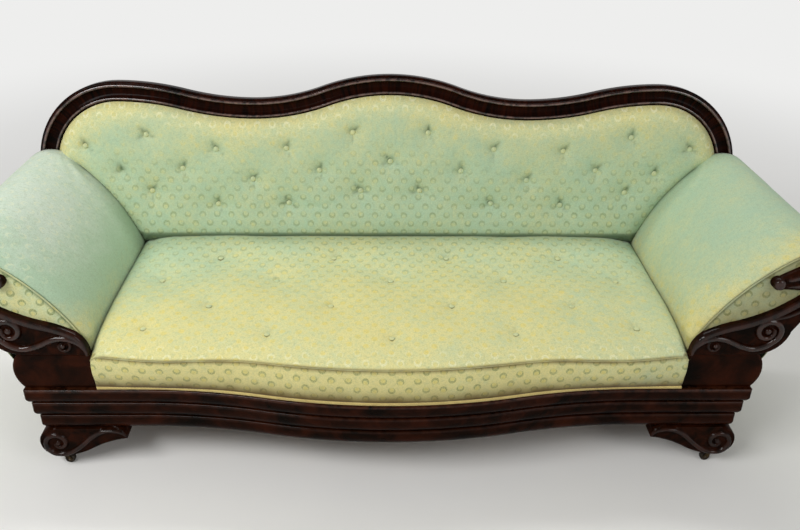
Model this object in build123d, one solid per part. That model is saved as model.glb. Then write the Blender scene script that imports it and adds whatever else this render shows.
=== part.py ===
"""Double-ended settee: mahogany show-wood, sprung seat, buttoned back, scrolled arms, casters.

Millimetres. X runs along the seat, +Y to the back, +Z up. Pieces are drawn with Y = 0 on the front
face of the front rail's ends, and are moved at the end so that the origin is on the floor under the
middle of the settee's box.
"""
import math
import os

from build123d import *

# Clearances between pieces
GLUE_GAP = 0.2          # between glued curved faces
SOFT_GAP = 1.5          # between soft pieces and what they sit on
SCREW_GAP = 0.1         # round a screw in its hole
RUN_GAP = 0.05          # radial play of a pin that turns
SIDE_GAP = 0.4          # end play of wheels and horns

# Seat and front rail
SEAT_HALF = 738.0       # half the width between the arms
SEAT_DEPTH = 556.0      # rail's end face to the back of the seat
SEAT_EDGE_Z = 364.0     # top of the boxed front, under the welt
SEAT_CROWN = 38.0       # rise of the seat above its front edge
SEAT_SIDE_SHARE = 0.35  # the crown is this much steeper at the sides than at the front
SEAT_BACK_SHARE = 0.02  # and at the back
SEAT_BACK_INSET = 10.0  # back of the seat, in front of the crease
SEAT_INSET = 4.0        # sewn edge of the seat, inside its box
SEAT_SWELL = 1.5        # the boxing swells past its sewn edges
SEAT_TIERS = ((70.0, 0.62), (150.0, 0.9), (215.0, 1.0))     # run-in and share of rise of each step
RAIL_OVERHANG = 184.0   # the front rail runs this far past the seat at each end
RAIL_TOP = 260.0
RAIL_BOW = 68.0         # how far the middle of the rail comes forward
BOW_HALF = 640.0        # half the bowed length
BAND_COUNT = 3
BAND_HEIGHT = 44.0
BAND_END_STEP = 11.0    # each lower band is this much shorter at each end
BAND_FRONT_STEP = 6.0   # and stands this much further back
BAND_ROUND = 14.0       # rounding under each band
BAND_DEPTH = 38.0       # face of the top band to the core
CORE_DEPTH = 32.0
FRAME_BOARD = 34.0      # thickness of the end and back rails
END_RAIL_SET_BACK = 4.0 # end rail inside the end of the lowest band
SEAT_LAP = 8.0          # the seat laps the back rail by this
BLOCK_LEG = 46.0        # corner block
WELT_R = 4.0
GIMP_HEIGHT = 9.0
GIMP_DEPTH = 2.2
HESSIAN = 2.0
WEB_WIDTH = 50.0
WEB_THICK = 1.6
SPRING_R = 40.0
SPRING_WIRE_R = 2.0
SPRING_TURNS = 5
SPRING_COLUMNS = 5
SPRING_ROWS = 3

# Front feet, back legs and casters
FOOT_BOTTOM = 38.0
FOOT_FRONT = 12.0       # behind the rail's end face
FOOT_DEPTH = 46.0
FOOT_LENGTH = 230.0     # outer side of the volute to the inner tip
FOOT_VOLUTE_R = 48.0
FOOT_END_INSET = 6.0    # the volute stands inside the end of the top band by this
FOOT_TIP_RISE = 62.0    # tip above the bottom of the volute
FOOT_TIP_ROUND = (9.0, 10.0)    # how far the tip's turn swells from a straight line
LEG_WIDTH = 48.0
LEG_DEPTH = 40.0
LEG_RAKE = 26.0         # the foot of a back leg stands this much further back
CASTER_INSET = 4.0      # the caster stands inside the volute's middle by this
CASTER_TRAIL = 11.0
WHEEL_R = 13.0
WHEEL_WIDTH = 12.0
AXLE_R = 2.0
STUD_R = 3.0
STUD_HEAD_R = 4.5
STUD_HEAD = 1.5
PLATE_R = 17.0
PLATE_THICK = 3.0
HORN_TOP = 4.2
HORN_CHEEK = 2.4
HORN_R = 10.0
HORN_CHEEK_INSET = 3.0  # a cheek's top stands inside the horn's round by this
AXLE_STAND = 0.5        # the pin stands out of each cheek by this
WHEEL_ROUND = 1.5
SCREW_R = 1.5
SCREW_LENGTH = 14.0
SCREW_CIRCLE_R = 11.5
SCREW_TURNS = (90.0, 210.0, 330.0)

# Arms
STUMP_DEPTH = 18.0
STUMP_TOP = 363.0
STUMP_WIDTH = 178.0
STUMP_BULGE = 20.0
PANEL_FRONT = 20.0      # front of the fabric wedge, behind the facing's face
ARM_FOOT_Z = 300.0      # lower edge of the arm's stuffing
ARM_BEND_Z = 398.0      # where the inner side starts to lean out
ROLL_R = 88.0
ROLL_CORE_R = 48.0
ROLL_FRONT = (272.0, 570.0)     # roll centre past the seat's side, and its height, at the front
ROLL_BACK = (234.0, 573.0)      # and at the back
ROLL_JOIN_DEG = 128.0   # where the lean meets the roll
ROLL_END_DEG = -46.0    # where the roll's cover is tacked underneath
ARM_LEAN_BULGE = 22.0   # how far the lean swells from a straight line
ARM_STUFFING = 58.0
ARM_EDGE = 12.0         # the stuffing draws in by this at its front edge
ARM_EDGE_DEPTH = 34.0
LOWER_RAIL_WIDTH = 46.0
LOWER_RAIL_INSET = 2.0  # behind the stump's inner side
COVER_THICK = 3.0
COVER_DROP_DEG = 6.0    # the outside cover starts this far below the roll's end
COVER_TURN = 60.0       # the cover turns in to the end rail this far above the rail's top
COVER_HOLLOW = 6.0      # how far the cover is drawn in above that turn

# Carved arm facing: places past the seat's side, and above the stump
STRIP_TOP = ((14.0, 57.0), (48.0, 74.0), (98.0, 92.0), (191.0, 130.0), (262.0, 184.0))
HOOK_INSET = 28.0       # the hook stands inside the roll by this
HOOK_TURNS = (-80.0, 10.0, 95.0)
LEAF_TIP = (167.0, 206.0)
LEAF_TOP = (221.0, 240.0)
LEAF_UNDER = (200.0, 184.0)
SCROLL_FOOT = (170.0, 0.0)
SCROLL_LOW = (220.0, 20.0)
SCROLL_OUT = (245.0, 68.0)
SCROLL_NECK = (268.0, 110.0)

# Back
BACK_RAKE_DEG = 8.4
BACK_FOOT_Z = 394.0     # height where the back's face crosses the seat's crease
BACK_FOOT_Y = 12.0      # the back's face stands this far behind the seat there
CREST_TOP = 489.0       # heights along the back's face, above the crease
CREST_VALLEY = 419.5
CREST_SHOULDER = 466.0
CREST_END_PAST_ROLL = 40.0
CREST_VALLEY_SHARE = 0.386      # place of each valley, as a share of half the crest's length
CREST_END_SHARE = 0.237         # radius of each end, likewise
CREST_WIDTH = 57.0
CREST_BACK = 30.0       # depth of the crest behind the back's face
CREST_BEAD = 14.0
CREST_BEAD_RISE = 8.0
CREST_COVE = 8.0
CREST_INNER_BEAD = 11.0
CREST_INNER_RISE = 6.5
CREST_LAND = 1.0        # height where the beads and the cove meet
CREST_CHAMFER = 2.0     # inside the inner bead
TACK_RAIL = (-25.0, 20.0)
TACK_RAIL_BACK = 28.0
TACK_RAIL_FRONT = 10.0
UPRIGHT_X = 350.0
UPRIGHT_WIDTH = 50.0
BACK_SWELL = 38.0       # rise of the back's stuffing
BACK_TIERS = ((0.0, 0.1), (16.0, 0.5), (44.0, 0.84), (90.0, 1.0))   # inset and share of swell of each step
BACK_HESSIAN_INSET = 2.0
BACK_WEB_COUNT = 6
BACK_WEB_PITCH = 205.0
BACK_COVER_INSET = 20.0 # edge of the outside back, inside the crest's edge
BACK_PAD_FOOT = -12.0   # lower edge of the back's stuffing, behind the seat

# Buttons and their tufts
BUTTON_R = 8.0
BUTTON_THICK = 5.0
TUFT_R = 45.0           # radius of the hollow drawn in by a button
TUFT_DEPTH = 11.0
BUTTON_GAP = 0.5
# Seat rows, front to back: depth as a share of the seat's, count, and pitch as a share of half its width
SEAT_ROW_DEPTHS = (0.1565, 0.331, 0.5665, 0.7645)
SEAT_ROW_COUNTS = (5, 4, 5, 4)
SEAT_ROW_PITCHES = (0.424, 0.431, 0.424, 0.436)
FRONT_ROW_BOW = 43.0    # the front row bows with the rail by this
# Right half of each back row: share of half the seat's width from the middle, and height up the back
BACK_ROW_TOP = ((0.146, 331.0), (0.404, 284.0), (0.676, 280.0), (0.94, 321.0), (1.1775, 287.0))
BACK_ROW_MIDDLE = ((0.0, 248.0), (0.278, 220.0), (0.539, 193.0), (0.809, 224.0), (1.046, 215.0))
BACK_ROW_LOW = ((0.1165, 160.0), (0.401, 122.0), (0.68, 118.0), (0.935, 157.0))
LOST_BUTTON = (-1.046, 215.0)   # this tuft has lost its button

# Places worked out from the sizes above
RAIL_HALF = SEAT_HALF + RAIL_OVERHANG
RAIL_BOTTOM = RAIL_TOP - BAND_COUNT * BAND_HEIGHT
END_RAIL_X = RAIL_HALF - (BAND_COUNT - 1) * BAND_END_STEP - END_RAIL_SET_BACK
CORE_BACK = BAND_DEPTH + CORE_DEPTH
BACK_RAIL_Y = SEAT_DEPTH - SEAT_LAP
BOW_TURN = 2 * math.atan2(RAIL_BOW, BOW_HALF)
BOW_R = BOW_HALF / (2 * math.sin(BOW_TURN))
RAKE = math.radians(BACK_RAKE_DEG)
BACK_FACE_Y = SEAT_DEPTH + BACK_FOOT_Y
CREST_END_X = SEAT_HALF + ROLL_BACK[0] + CREST_END_PAST_ROLL
CREST_VALLEY_X = CREST_VALLEY_SHARE * CREST_END_X
CREST_END_R = CREST_END_SHARE * CREST_END_X
CREST_SHOULDER_X = CREST_END_X - CREST_END_R
CREST_END = CREST_SHOULDER - CREST_END_R
REAR_Y = BACK_FACE_Y + CREST_TOP * math.sin(RAKE) + CREST_BACK * math.cos(RAKE)
MIDDLE_Y = (REAR_Y - RAIL_BOW) / 2
HOOK_R = ROLL_R - HOOK_INSET
FACE_NORMAL = Vector(0, -math.cos(RAKE), math.sin(RAKE))

nodes = {}


def mirrored(solid):
    """The same piece for the other end of the settee."""
    return mirror(solid, about=Plane.YZ)


def add_pair(name, solid):
    """A right-hand piece and its left-hand twin, as two nodes."""
    nodes["right_" + name] = [solid]
    nodes["left_" + name] = [mirrored(solid)]


def plate(edges, amount, direction):
    """A flat outline carried straight through a thickness."""
    return extrude(Face(Wire(edges)), amount=amount, dir=direction)


def block(low, high):
    """A box between two corners."""
    size = [b - a for a, b in zip(low, high)]
    middle = [(a + b) / 2 for a, b in zip(low, high)]
    return Pos(*middle) * Box(*size)


def arc_point(centre, radius, degrees):
    """Point on a circle, counted from the first axis towards the second."""
    angle = math.radians(degrees)
    return (centre[0] + radius * math.cos(angle), centre[1] + radius * math.sin(angle))


def circle_through(a, b, c):
    """Centre and radius of the circle through three points."""
    d = 2 * (a[0] * (b[1] - c[1]) + b[0] * (c[1] - a[1]) + c[0] * (a[1] - b[1]))
    squares = [p[0] ** 2 + p[1] ** 2 for p in (a, b, c)]
    x = (squares[0] * (b[1] - c[1]) + squares[1] * (c[1] - a[1]) + squares[2] * (a[1] - b[1])) / d
    y = (squares[0] * (c[0] - b[0]) + squares[1] * (a[0] - c[0]) + squares[2] * (b[0] - a[0])) / d
    return (x, y), math.dist((x, y), a)


def circles_meet(first, first_r, second, second_r):
    """The upper of the two points where circles cross."""
    gap = math.dist(first, second)
    along = (first_r ** 2 - second_r ** 2 + gap ** 2) / (2 * gap)
    aside = math.sqrt(first_r ** 2 - along ** 2)
    ux = (second[0] - first[0]) / gap
    uy = (second[1] - first[1]) / gap
    base = (first[0] + along * ux, first[1] + along * uy)
    points = [(base[0] - k * aside * uy, base[1] + k * aside * ux) for k in (1, -1)]
    return max(points, key=lambda p: p[1])


def s_curve(start, end):
    """Two equal tangent arcs from start to end, level at both ends, as three-point pairs."""
    across = end[0] - start[0]
    rise = end[1] - start[1]
    turn = 2 * math.atan2(abs(rise), abs(across))
    radius = abs(across) / (2 * math.sin(turn))
    side = math.copysign(1, across)
    up = math.copysign(1, rise)
    half = (side * radius * math.sin(turn / 2), up * radius * (1 - math.cos(turn / 2)))
    middle = ((start[0] + end[0]) / 2, (start[1] + end[1]) / 2)
    first = (start[0] + half[0], start[1] + half[1])
    second = (end[0] - half[0], end[1] - half[1])
    return (start, first, middle), (middle, second, end)


# Front rail: the bowed line, the core and its three bands


def serpentine(half, behind, z):
    """The rail's plan line `behind` its face: level ends, hollow flanks and a bowed middle."""
    hollow = BOW_R + behind
    bowed = BOW_R - behind
    apex = (0, behind - RAIL_BOW, z)
    join = (bowed * math.sin(BOW_TURN), BOW_R - RAIL_BOW - bowed * math.cos(BOW_TURN))
    flank = (BOW_HALF - hollow * math.sin(BOW_TURN / 2), hollow * math.cos(BOW_TURN / 2) - BOW_R)
    return [
        Line((-half, behind, z), (-BOW_HALF, behind, z)),
        ThreePointArc((-BOW_HALF, behind, z), (-flank[0], flank[1], z), (-join[0], join[1], z)),
        ThreePointArc((-join[0], join[1], z), apex, (join[0], join[1], z)),
        ThreePointArc((join[0], join[1], z), (flank[0], flank[1], z), (BOW_HALF, behind, z)),
        Line((BOW_HALF, behind, z), (half, behind, z)),
    ]


def bow_line(x, behind):
    """Distance of the bowed line behind the rail's end face, at a place along the rail."""
    reach = abs(x)
    if reach >= BOW_HALF:
        return behind
    if reach >= (BOW_R - behind) * math.sin(BOW_TURN):
        return math.sqrt((BOW_R + behind) ** 2 - (BOW_HALF - reach) ** 2) - BOW_R
    return BOW_R - RAIL_BOW - math.sqrt((BOW_R - behind) ** 2 - reach ** 2)


def bowed_strip(half, front, back, low, high):
    """A strip between two lines of the bow, from one height to another."""
    edges = serpentine(half, front, low) + serpentine(half, back, low)
    edges.append(Line((-half, front, low), (-half, back, low)))
    edges.append(Line((half, front, low), (half, back, low)))
    return plate(edges, high - low, (0, 0, 1))


def rail_band(index):
    """One band of the rail: rounded under, stepped in from the band above it."""
    half = RAIL_HALF - index * BAND_END_STEP
    front = index * BAND_FRONT_STEP
    high = RAIL_TOP - index * BAND_HEIGHT
    low = high - BAND_HEIGHT
    band = bowed_strip(half, front, BAND_DEPTH, low, high)
    outer = [e @ 0.5 for e in serpentine(half, front, low)]
    outer += [Vector(side * half, (front + BAND_DEPTH) / 2, low) for side in (-1, 1)]
    rounded = [e for e in band.edges() if min((e @ 0.5 - p).length for p in outer) < 0.1]
    return fillet(rounded, BAND_ROUND)


for band_index, band_name in enumerate(("upper", "middle", "lower")):
    nodes["rail_band_" + band_name] = [rail_band(band_index)]
core = bowed_strip(END_RAIL_X, BAND_DEPTH + GLUE_GAP, CORE_BACK, RAIL_BOTTOM, RAIL_TOP)
nodes["front_rail_core"] = [core]

# End rails, back rail and corner blocks

end_rail_inner = END_RAIL_X - FRAME_BOARD
add_pair("end_rail", block((end_rail_inner, CORE_BACK, RAIL_BOTTOM), (END_RAIL_X, BACK_RAIL_Y, RAIL_TOP)))
back_rail_rear = BACK_RAIL_Y + FRAME_BOARD
back_rail = block((-END_RAIL_X, BACK_RAIL_Y, RAIL_BOTTOM), (END_RAIL_X, back_rail_rear, RAIL_TOP))
nodes["back_rail"] = [back_rail]


def corner_block(y, inward):
    """A triangular block glued into a corner of the seat frame."""
    corner = (end_rail_inner, y, RAIL_BOTTOM + BLOCK_LEG / 2)
    along_x = (end_rail_inner - BLOCK_LEG, y, corner[2])
    along_y = (end_rail_inner, y + inward * BLOCK_LEG, corner[2])
    edges = [Line(corner, along_x), Line(along_x, along_y), Line(along_y, corner)]
    return plate(edges, RAIL_TOP - RAIL_BOTTOM - BLOCK_LEG, (0, 0, 1))


right_blocks = [corner_block(CORE_BACK, 1), corner_block(BACK_RAIL_Y, -1)]
nodes["corner_blocks"] = right_blocks + [mirrored(b) for b in right_blocks]

# Front feet: a scroll bracket under each end of the rail

volute_x = RAIL_HALF - FOOT_END_INSET - FOOT_VOLUTE_R
volute_z = RAIL_BOTTOM - FOOT_VOLUTE_R
foot_tip = (RAIL_HALF - FOOT_END_INSET - FOOT_LENGTH, volute_z - FOOT_VOLUTE_R + FOOT_TIP_RISE)
foot_toe = (volute_x, volute_z - FOOT_VOLUTE_R)
foot_top_x = foot_tip[0] + FOOT_VOLUTE_R
FOOT_BACK = FOOT_FRONT + FOOT_DEPTH
CASTER_Y = (FOOT_FRONT + FOOT_BACK) / 2
CASTER_X = volute_x - CASTER_INSET
LEG_BACK_Y = BACK_RAIL_Y + LEG_RAKE + LEG_DEPTH / 2


def at_front(point):
    """A point of the foot's outline on its front face."""
    return (point[0], FOOT_FRONT, point[1])


def caster_screws(x, y, gap=0.0):
    """Three short screws through a caster plate into the wood above it, or with a gap, their holes."""
    middle_z = FOOT_BOTTOM - PLATE_THICK + SCREW_LENGTH / 2
    places = [arc_point((x, y), SCREW_CIRCLE_R, turn) for turn in SCREW_TURNS]
    return [Pos(*place, middle_z) * Cylinder(SCREW_R + gap, SCREW_LENGTH) for place in places]


def screw_holes(solid, x, y):
    """The piece with clearance holes for a caster's screws."""
    for hole in caster_screws(x, y, SCREW_GAP):
        solid -= hole
    return solid


def front_foot():
    """The right bracket: volute outside, a long leaf-like sweep to the tip inside."""
    tip_turn = ((foot_tip[0] + foot_top_x) / 2 - FOOT_TIP_ROUND[0],
                (foot_tip[1] + RAIL_BOTTOM) / 2 + FOOT_TIP_ROUND[1])
    side = (volute_x + FOOT_VOLUTE_R, volute_z)
    edges = [
        Line(at_front((volute_x, RAIL_BOTTOM)), at_front((foot_top_x, RAIL_BOTTOM))),
        ThreePointArc(at_front((foot_top_x, RAIL_BOTTOM)), at_front(tip_turn), at_front(foot_tip)),
    ]
    for start, middle, end in s_curve(foot_tip, foot_toe):
        edges.append(ThreePointArc(at_front(start), at_front(middle), at_front(end)))
    edges.append(ThreePointArc(at_front(foot_toe), at_front(side), at_front((volute_x, RAIL_BOTTOM))))
    foot = plate(edges, FOOT_DEPTH, (0, 1, 0))
    foot = split(foot, Plane((0, 0, FOOT_BOTTOM)), keep=Keep.TOP)
    foot = split(foot, Plane((0, 0, RAIL_BOTTOM)), keep=Keep.BOTTOM)
    return screw_holes(foot, CASTER_X, CASTER_Y)


add_pair("front_foot", front_foot())


def back_leg():
    """A square leg that rakes back to its caster."""
    top = Pos(CASTER_X, BACK_RAIL_Y + FRAME_BOARD / 2, RAIL_BOTTOM) * Rectangle(LEG_WIDTH, FRAME_BOARD)
    foot = Pos(CASTER_X, LEG_BACK_Y, FOOT_BOTTOM) * Rectangle(LEG_WIDTH, LEG_DEPTH)
    return screw_holes(loft([foot, top], ruled=True), CASTER_X, LEG_BACK_Y)


add_pair("back_leg", back_leg())

# Casters: plate with a riveted stud, horn, axle pin and wheel

horn_top_z = FOOT_BOTTOM - PLATE_THICK - SIDE_GAP
horn_under_z = horn_top_z - HORN_TOP


def caster_plate(x, y):
    """Round plate under the foot, with the stud that the horn swivels on."""
    shape = Pos(x, y, FOOT_BOTTOM - PLATE_THICK / 2) * Cylinder(PLATE_R, PLATE_THICK)
    head_top = horn_under_z - SIDE_GAP / 2
    stud = FOOT_BOTTOM - PLATE_THICK - (head_top - STUD_HEAD)
    shape += Pos(x, y, head_top - STUD_HEAD + stud / 2) * Cylinder(STUD_R, stud)
    shape += Pos(x, y, head_top - STUD_HEAD / 2) * Cylinder(STUD_HEAD_R, STUD_HEAD)
    return screw_holes(shape, x, y)


def caster_horn(x, y, side):
    """Swivelling horn: a round top on the stud and two cheeks that hold the axle."""
    axle_x = x - side * CASTER_TRAIL
    cheek_in = WHEEL_WIDTH / 2 + SIDE_GAP
    shape = Pos(x, y, horn_under_z + HORN_TOP / 2) * Cylinder(HORN_R, HORN_TOP)
    boss = WHEEL_R / 2
    cheek = HORN_R - HORN_CHEEK_INSET
    outline = [(x + side * cheek, horn_top_z), (x - side * cheek, horn_top_z)]
    outline += [(axle_x - side * boss, WHEEL_R), (axle_x, WHEEL_R - boss), (axle_x + side * boss, WHEEL_R)]
    for direction in (-1, 1):
        points = [(px, y + direction * cheek_in, pz) for px, pz in outline]
        edges = [Line(a, b) for a, b in zip(points, points[1:] + points[:1])]
        shape += plate(edges, HORN_CHEEK, (0, direction, 0))
    shape -= Pos(x, y, horn_under_z + HORN_TOP / 2) * Cylinder(STUD_R + RUN_GAP, HORN_TOP)
    across = Pos(axle_x, y, WHEEL_R) * Rot(90, 0, 0)
    return shape - across * Cylinder(AXLE_R + RUN_GAP / 2, WHEEL_WIDTH * 3)


def caster_axle(x, y, side):
    """Axle pin through both cheeks."""
    length = WHEEL_WIDTH + 2 * (SIDE_GAP + HORN_CHEEK + AXLE_STAND)
    return Pos(x - side * CASTER_TRAIL, y, WHEEL_R) * Rot(90, 0, 0) * Cylinder(AXLE_R, length)


def caster_wheel(x, y, side):
    """Turned wheel with eased rims."""
    wheel = Cylinder(WHEEL_R, WHEEL_WIDTH)
    wheel = fillet(wheel.edges(), WHEEL_ROUND)
    wheel -= Cylinder(AXLE_R + RUN_GAP, WHEEL_WIDTH)
    return Pos(x - side * CASTER_TRAIL, y, WHEEL_R) * Rot(90, 0, 0) * wheel


CASTERS = {
    "front_left": (-CASTER_X, CASTER_Y, -1),
    "front_right": (CASTER_X, CASTER_Y, 1),
    "back_left": (-CASTER_X, LEG_BACK_Y, -1),
    "back_right": (CASTER_X, LEG_BACK_Y, 1),
}
nodes["caster_plates"] = []
nodes["caster_screws"] = []
for caster, (caster_x, caster_y, caster_side) in CASTERS.items():
    nodes["caster_plates"].append(caster_plate(caster_x, caster_y))
    nodes["caster_screws"] += caster_screws(caster_x, caster_y)
    nodes[caster + "_caster_horn"] = [caster_horn(caster_x, caster_y, caster_side)]
    nodes[caster + "_caster_axle"] = [caster_axle(caster_x, caster_y, caster_side)]
    nodes[caster + "_caster_wheel"] = [caster_wheel(caster_x, caster_y, caster_side)]

# The back's face: a raked plane that the crest, stiles and back upholstery are drawn on


def back_point(x, up, out=0.0):
    """Point `up` the raked face from the seat's crease, and `out` in front of it."""
    y = BACK_FACE_Y + up * math.sin(RAKE) - out * math.cos(RAKE)
    return (x, y, BACK_FOOT_Z + up * math.cos(RAKE) + out * math.sin(RAKE))


def swing(start, end):
    """Radius, and turn in degrees, of the two equal arcs that carry a level line from start to end."""
    across = end[0] - start[0]
    turn = 2 * math.atan2(abs(end[1] - start[1]), across)
    return across / (2 * math.sin(turn)), math.degrees(turn)


def crest_arcs(inset):
    """Right half of the crest line as (start, middle, end) arcs, `inset` below its top edge."""
    valley = (CREST_VALLEY_X, CREST_VALLEY)
    shoulder = (CREST_SHOULDER_X, CREST_SHOULDER)
    hump_r, hump_turn = swing((0, CREST_TOP), valley)
    shoulder_r, shoulder_turn = swing(valley, shoulder)
    spans = [
        ((0, CREST_TOP - hump_r), hump_r - inset, 90.0, 90.0 - hump_turn),
        ((valley[0], valley[1] + hump_r), hump_r + inset, 270.0 - hump_turn, 270.0),
        ((valley[0], valley[1] + shoulder_r), shoulder_r + inset, 270.0, 270.0 + shoulder_turn),
        ((shoulder[0], shoulder[1] - shoulder_r), shoulder_r - inset, 90.0 + shoulder_turn, 90.0),
        ((shoulder[0], CREST_END), CREST_END_R - inset, 90.0, 0.0),
    ]
    return [[arc_point(c, r, a + (b - a) * k / 2) for k in (0, 1, 2)] for c, r, a, b in spans]


def face_arc(points, out):
    """An arc on the raked face from three of its points."""
    return ThreePointArc(*[back_point(x, up, out) for x, up in points])


def flipped(points):
    """The same arc on the left half, run the other way."""
    return [(-x, up) for x, up in reversed(points)]


def crest_profile(x, up):
    """Moulded section of the crest: outer bead, wide cove, inner bead, flat back."""
    bead_end = CREST_WIDTH - CREST_CHAMFER
    cove_end = bead_end - CREST_INNER_BEAD
    cove_middle = (CREST_BEAD + cove_end) / 2
    inner_middle = (cove_end + bead_end) / 2

    def at(inset, out):
        return back_point(x, up - inset, out)

    bead_foot = at(CREST_BEAD, CREST_LAND)
    cove_foot = at(cove_end, CREST_LAND)
    inner_foot = at(bead_end, CREST_LAND)
    chamfer_foot = at(CREST_WIDTH, CREST_LAND - CREST_CHAMFER)
    edges = [
        Line(at(0, -CREST_BACK), at(0, 0)),
        ThreePointArc(at(0, 0), at(CREST_BEAD / 2, CREST_BEAD_RISE), bead_foot),
        ThreePointArc(bead_foot, at(cove_middle, CREST_LAND - CREST_COVE), cove_foot),
        ThreePointArc(cove_foot, at(inner_middle, CREST_INNER_RISE), inner_foot),
        Line(inner_foot, chamfer_foot),
        Line(chamfer_foot, at(CREST_WIDTH, -CREST_BACK)),
        Line(at(CREST_WIDTH, -CREST_BACK), at(0, -CREST_BACK)),
    ]
    return Face(Wire(edges))


def crest_piece(arcs):
    """The moulding carried along a run of the crest line that starts level."""
    path = Wire([face_arc(points, 0) for points in arcs])
    return sweep(crest_profile(*arcs[0][0]), path=path)


right_crest = crest_arcs(0)
middle_run = [flipped(right_crest[1]), flipped(right_crest[0]), right_crest[0], right_crest[1]]
nodes["crest_center"] = [crest_piece(middle_run)]
add_pair("crest", crest_piece(right_crest[2:]))

STILE_FOOT = (RAIL_TOP - BACK_FOOT_Z) / math.cos(RAKE) - CREST_BACK


def stile_line(inset):
    """Edge of the right stile, from the end of the crest in to the end rail."""
    top = (CREST_END, CREST_END_X - inset)
    foot = (STILE_FOOT, END_RAIL_X - inset)
    return [[(x, up) for up, x in points] for points in s_curve(top, foot)]


def back_stile():
    """Right stile: sawn to an S, flush with the crest's end, cut level on the back rail."""
    outer = [face_arc(points, 0) for points in stile_line(0)]
    inner = [face_arc(points, 0) for points in stile_line(CREST_WIDTH)]
    edges = outer + inner
    edges.append(Line(outer[0] @ 0, inner[0] @ 0))
    edges.append(Line(outer[1] @ 1, inner[1] @ 1))
    stile = plate(edges, CREST_BACK, tuple(-FACE_NORMAL))
    return split(stile, Plane((0, 0, RAIL_TOP)), keep=Keep.TOP)


right_stile = back_stile()
add_pair("back_stile", right_stile)


def face_block(low, high, back, front):
    """A board on the raked face between two of its corners."""
    corners = [low, (high[0], low[1]), high, (low[0], high[1])]
    points = [back_point(x, up, back) for x, up in corners]
    edges = [Line(a, b) for a, b in zip(points, points[1:] + points[:1])]
    return plate(edges, front - back, tuple(FACE_NORMAL))


tack_half = CREST_END_X - CREST_WIDTH
tack_low = (-tack_half, TACK_RAIL[0])
tack_high = (tack_half, TACK_RAIL[1])
tack_rail = face_block(tack_low, tack_high, -TACK_RAIL_BACK, -TACK_RAIL_FRONT)
for stile in (right_stile, mirrored(right_stile)):
    tack_rail -= stile
nodes["back_tacking_rail"] = [max(tack_rail.solids(), key=lambda s: s.volume)]


def crest_edge(inset, out):
    """The whole crest line at an inset, left end to right end."""
    right = crest_arcs(inset)
    return [face_arc(flipped(p), out) for p in reversed(right)] + [face_arc(p, out) for p in right]


def under_crest(inset, foot, out):
    """Outline below the crest and between the stiles, closed along a level foot."""
    edges = crest_edge(inset, out)
    start = edges[0] @ 0
    end = edges[-1] @ 1
    left_foot = Vector(*back_point(-(CREST_END_X - inset), foot, out))
    right_foot = Vector(*back_point(CREST_END_X - inset, foot, out))
    return edges + [Line(start, left_foot), Line(left_foot, right_foot), Line(right_foot, end)]


opening_inset = CREST_WIDTH + GLUE_GAP
opening_edges = under_crest(opening_inset, TACK_RAIL[1], -TACK_RAIL_BACK)
frame_opening = plate(opening_edges, TACK_RAIL_BACK, tuple(FACE_NORMAL))
upright_low = (UPRIGHT_X - UPRIGHT_WIDTH / 2, TACK_RAIL[1])
upright_high = (UPRIGHT_X + UPRIGHT_WIDTH / 2, CREST_TOP)
upright = face_block(upright_low, upright_high, -TACK_RAIL_BACK, -TACK_RAIL_FRONT) & frame_opening
nodes["back_uprights"] = [upright, mirrored(upright)]

# Arms: the section that the stuffing, its welt and the inside back share


def arm_section(roll, inset):
    """Lean and roll of the right arm as named points, drawn in by an inset.

    The lean is one arc from the seat's side to the roll, and the roll is a circle about its core.
    """
    centre = (SEAT_HALF + roll[0], roll[1])
    foot_x = SEAT_HALF + SOFT_GAP + inset
    bend = (foot_x, ARM_BEND_Z)
    join = arc_point(centre, ROLL_R - inset, ROLL_JOIN_DEG)
    chord = (join[0] - bend[0], join[1] - bend[1])
    length = math.hypot(*chord)
    swell = ((bend[0] + join[0]) / 2 - ARM_LEAN_BULGE * chord[1] / length,
             (bend[1] + join[1]) / 2 + ARM_LEAN_BULGE * chord[0] / length)
    return {"centre": centre, "foot": (foot_x, ARM_FOOT_Z), "bend": bend, "swell": swell, "join": join}


def arm_outline(roll, inset, at):
    """Closed section of the arm's stuffing: lean, roll, underside and the hollow for the arm rail."""
    outer = arm_section(roll, inset)
    lean_centre, lean_r = circle_through(outer["bend"], outer["swell"], outer["join"])
    centre = outer["centre"]
    outer_r = ROLL_R - inset
    core_r = ROLL_CORE_R + GLUE_GAP
    top = arc_point(centre, outer_r, (ROLL_JOIN_DEG + ROLL_END_DEG) / 2)
    end = arc_point(centre, outer_r, ROLL_END_DEG)
    core_end = arc_point(centre, core_r, ROLL_END_DEG)
    core_top = arc_point(centre, core_r, (ROLL_JOIN_DEG + ROLL_END_DEG) / 2)
    core_join = arc_point(centre, core_r, ROLL_JOIN_DEG)
    inner_foot = (outer["foot"][0] - inset + ARM_STUFFING, ARM_FOOT_Z)
    swell = outer["swell"]
    lean_angle = math.degrees(math.atan2(swell[1] - lean_centre[1], swell[0] - lean_centre[0]))
    inner_turn = arc_point(lean_centre, lean_r + inset - ARM_STUFFING, lean_angle)
    return [
        Line(at(outer["foot"]), at(outer["bend"])),
        ThreePointArc(at(outer["bend"]), at(outer["swell"]), at(outer["join"])),
        ThreePointArc(at(outer["join"]), at(top), at(end)),
        Line(at(end), at(core_end)),
        ThreePointArc(at(core_end), at(core_top), at(core_join)),
        ThreePointArc(at(core_join), at(inner_turn), at(inner_foot)),
        Line(at(inner_foot), at(outer["foot"])),
    ]


ARM_BACK_OUT = CREST_BEAD_RISE + SOFT_GAP
STUMP_FRONT = FOOT_FRONT
STUMP_BACK = STUMP_FRONT + STUMP_DEPTH
ARM_FRONT_Y = STUMP_BACK + GLUE_GAP


def on_front(y):
    """Places a section point on an upright plane across the arm."""
    return lambda p: (p[0], y, p[1])


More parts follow.
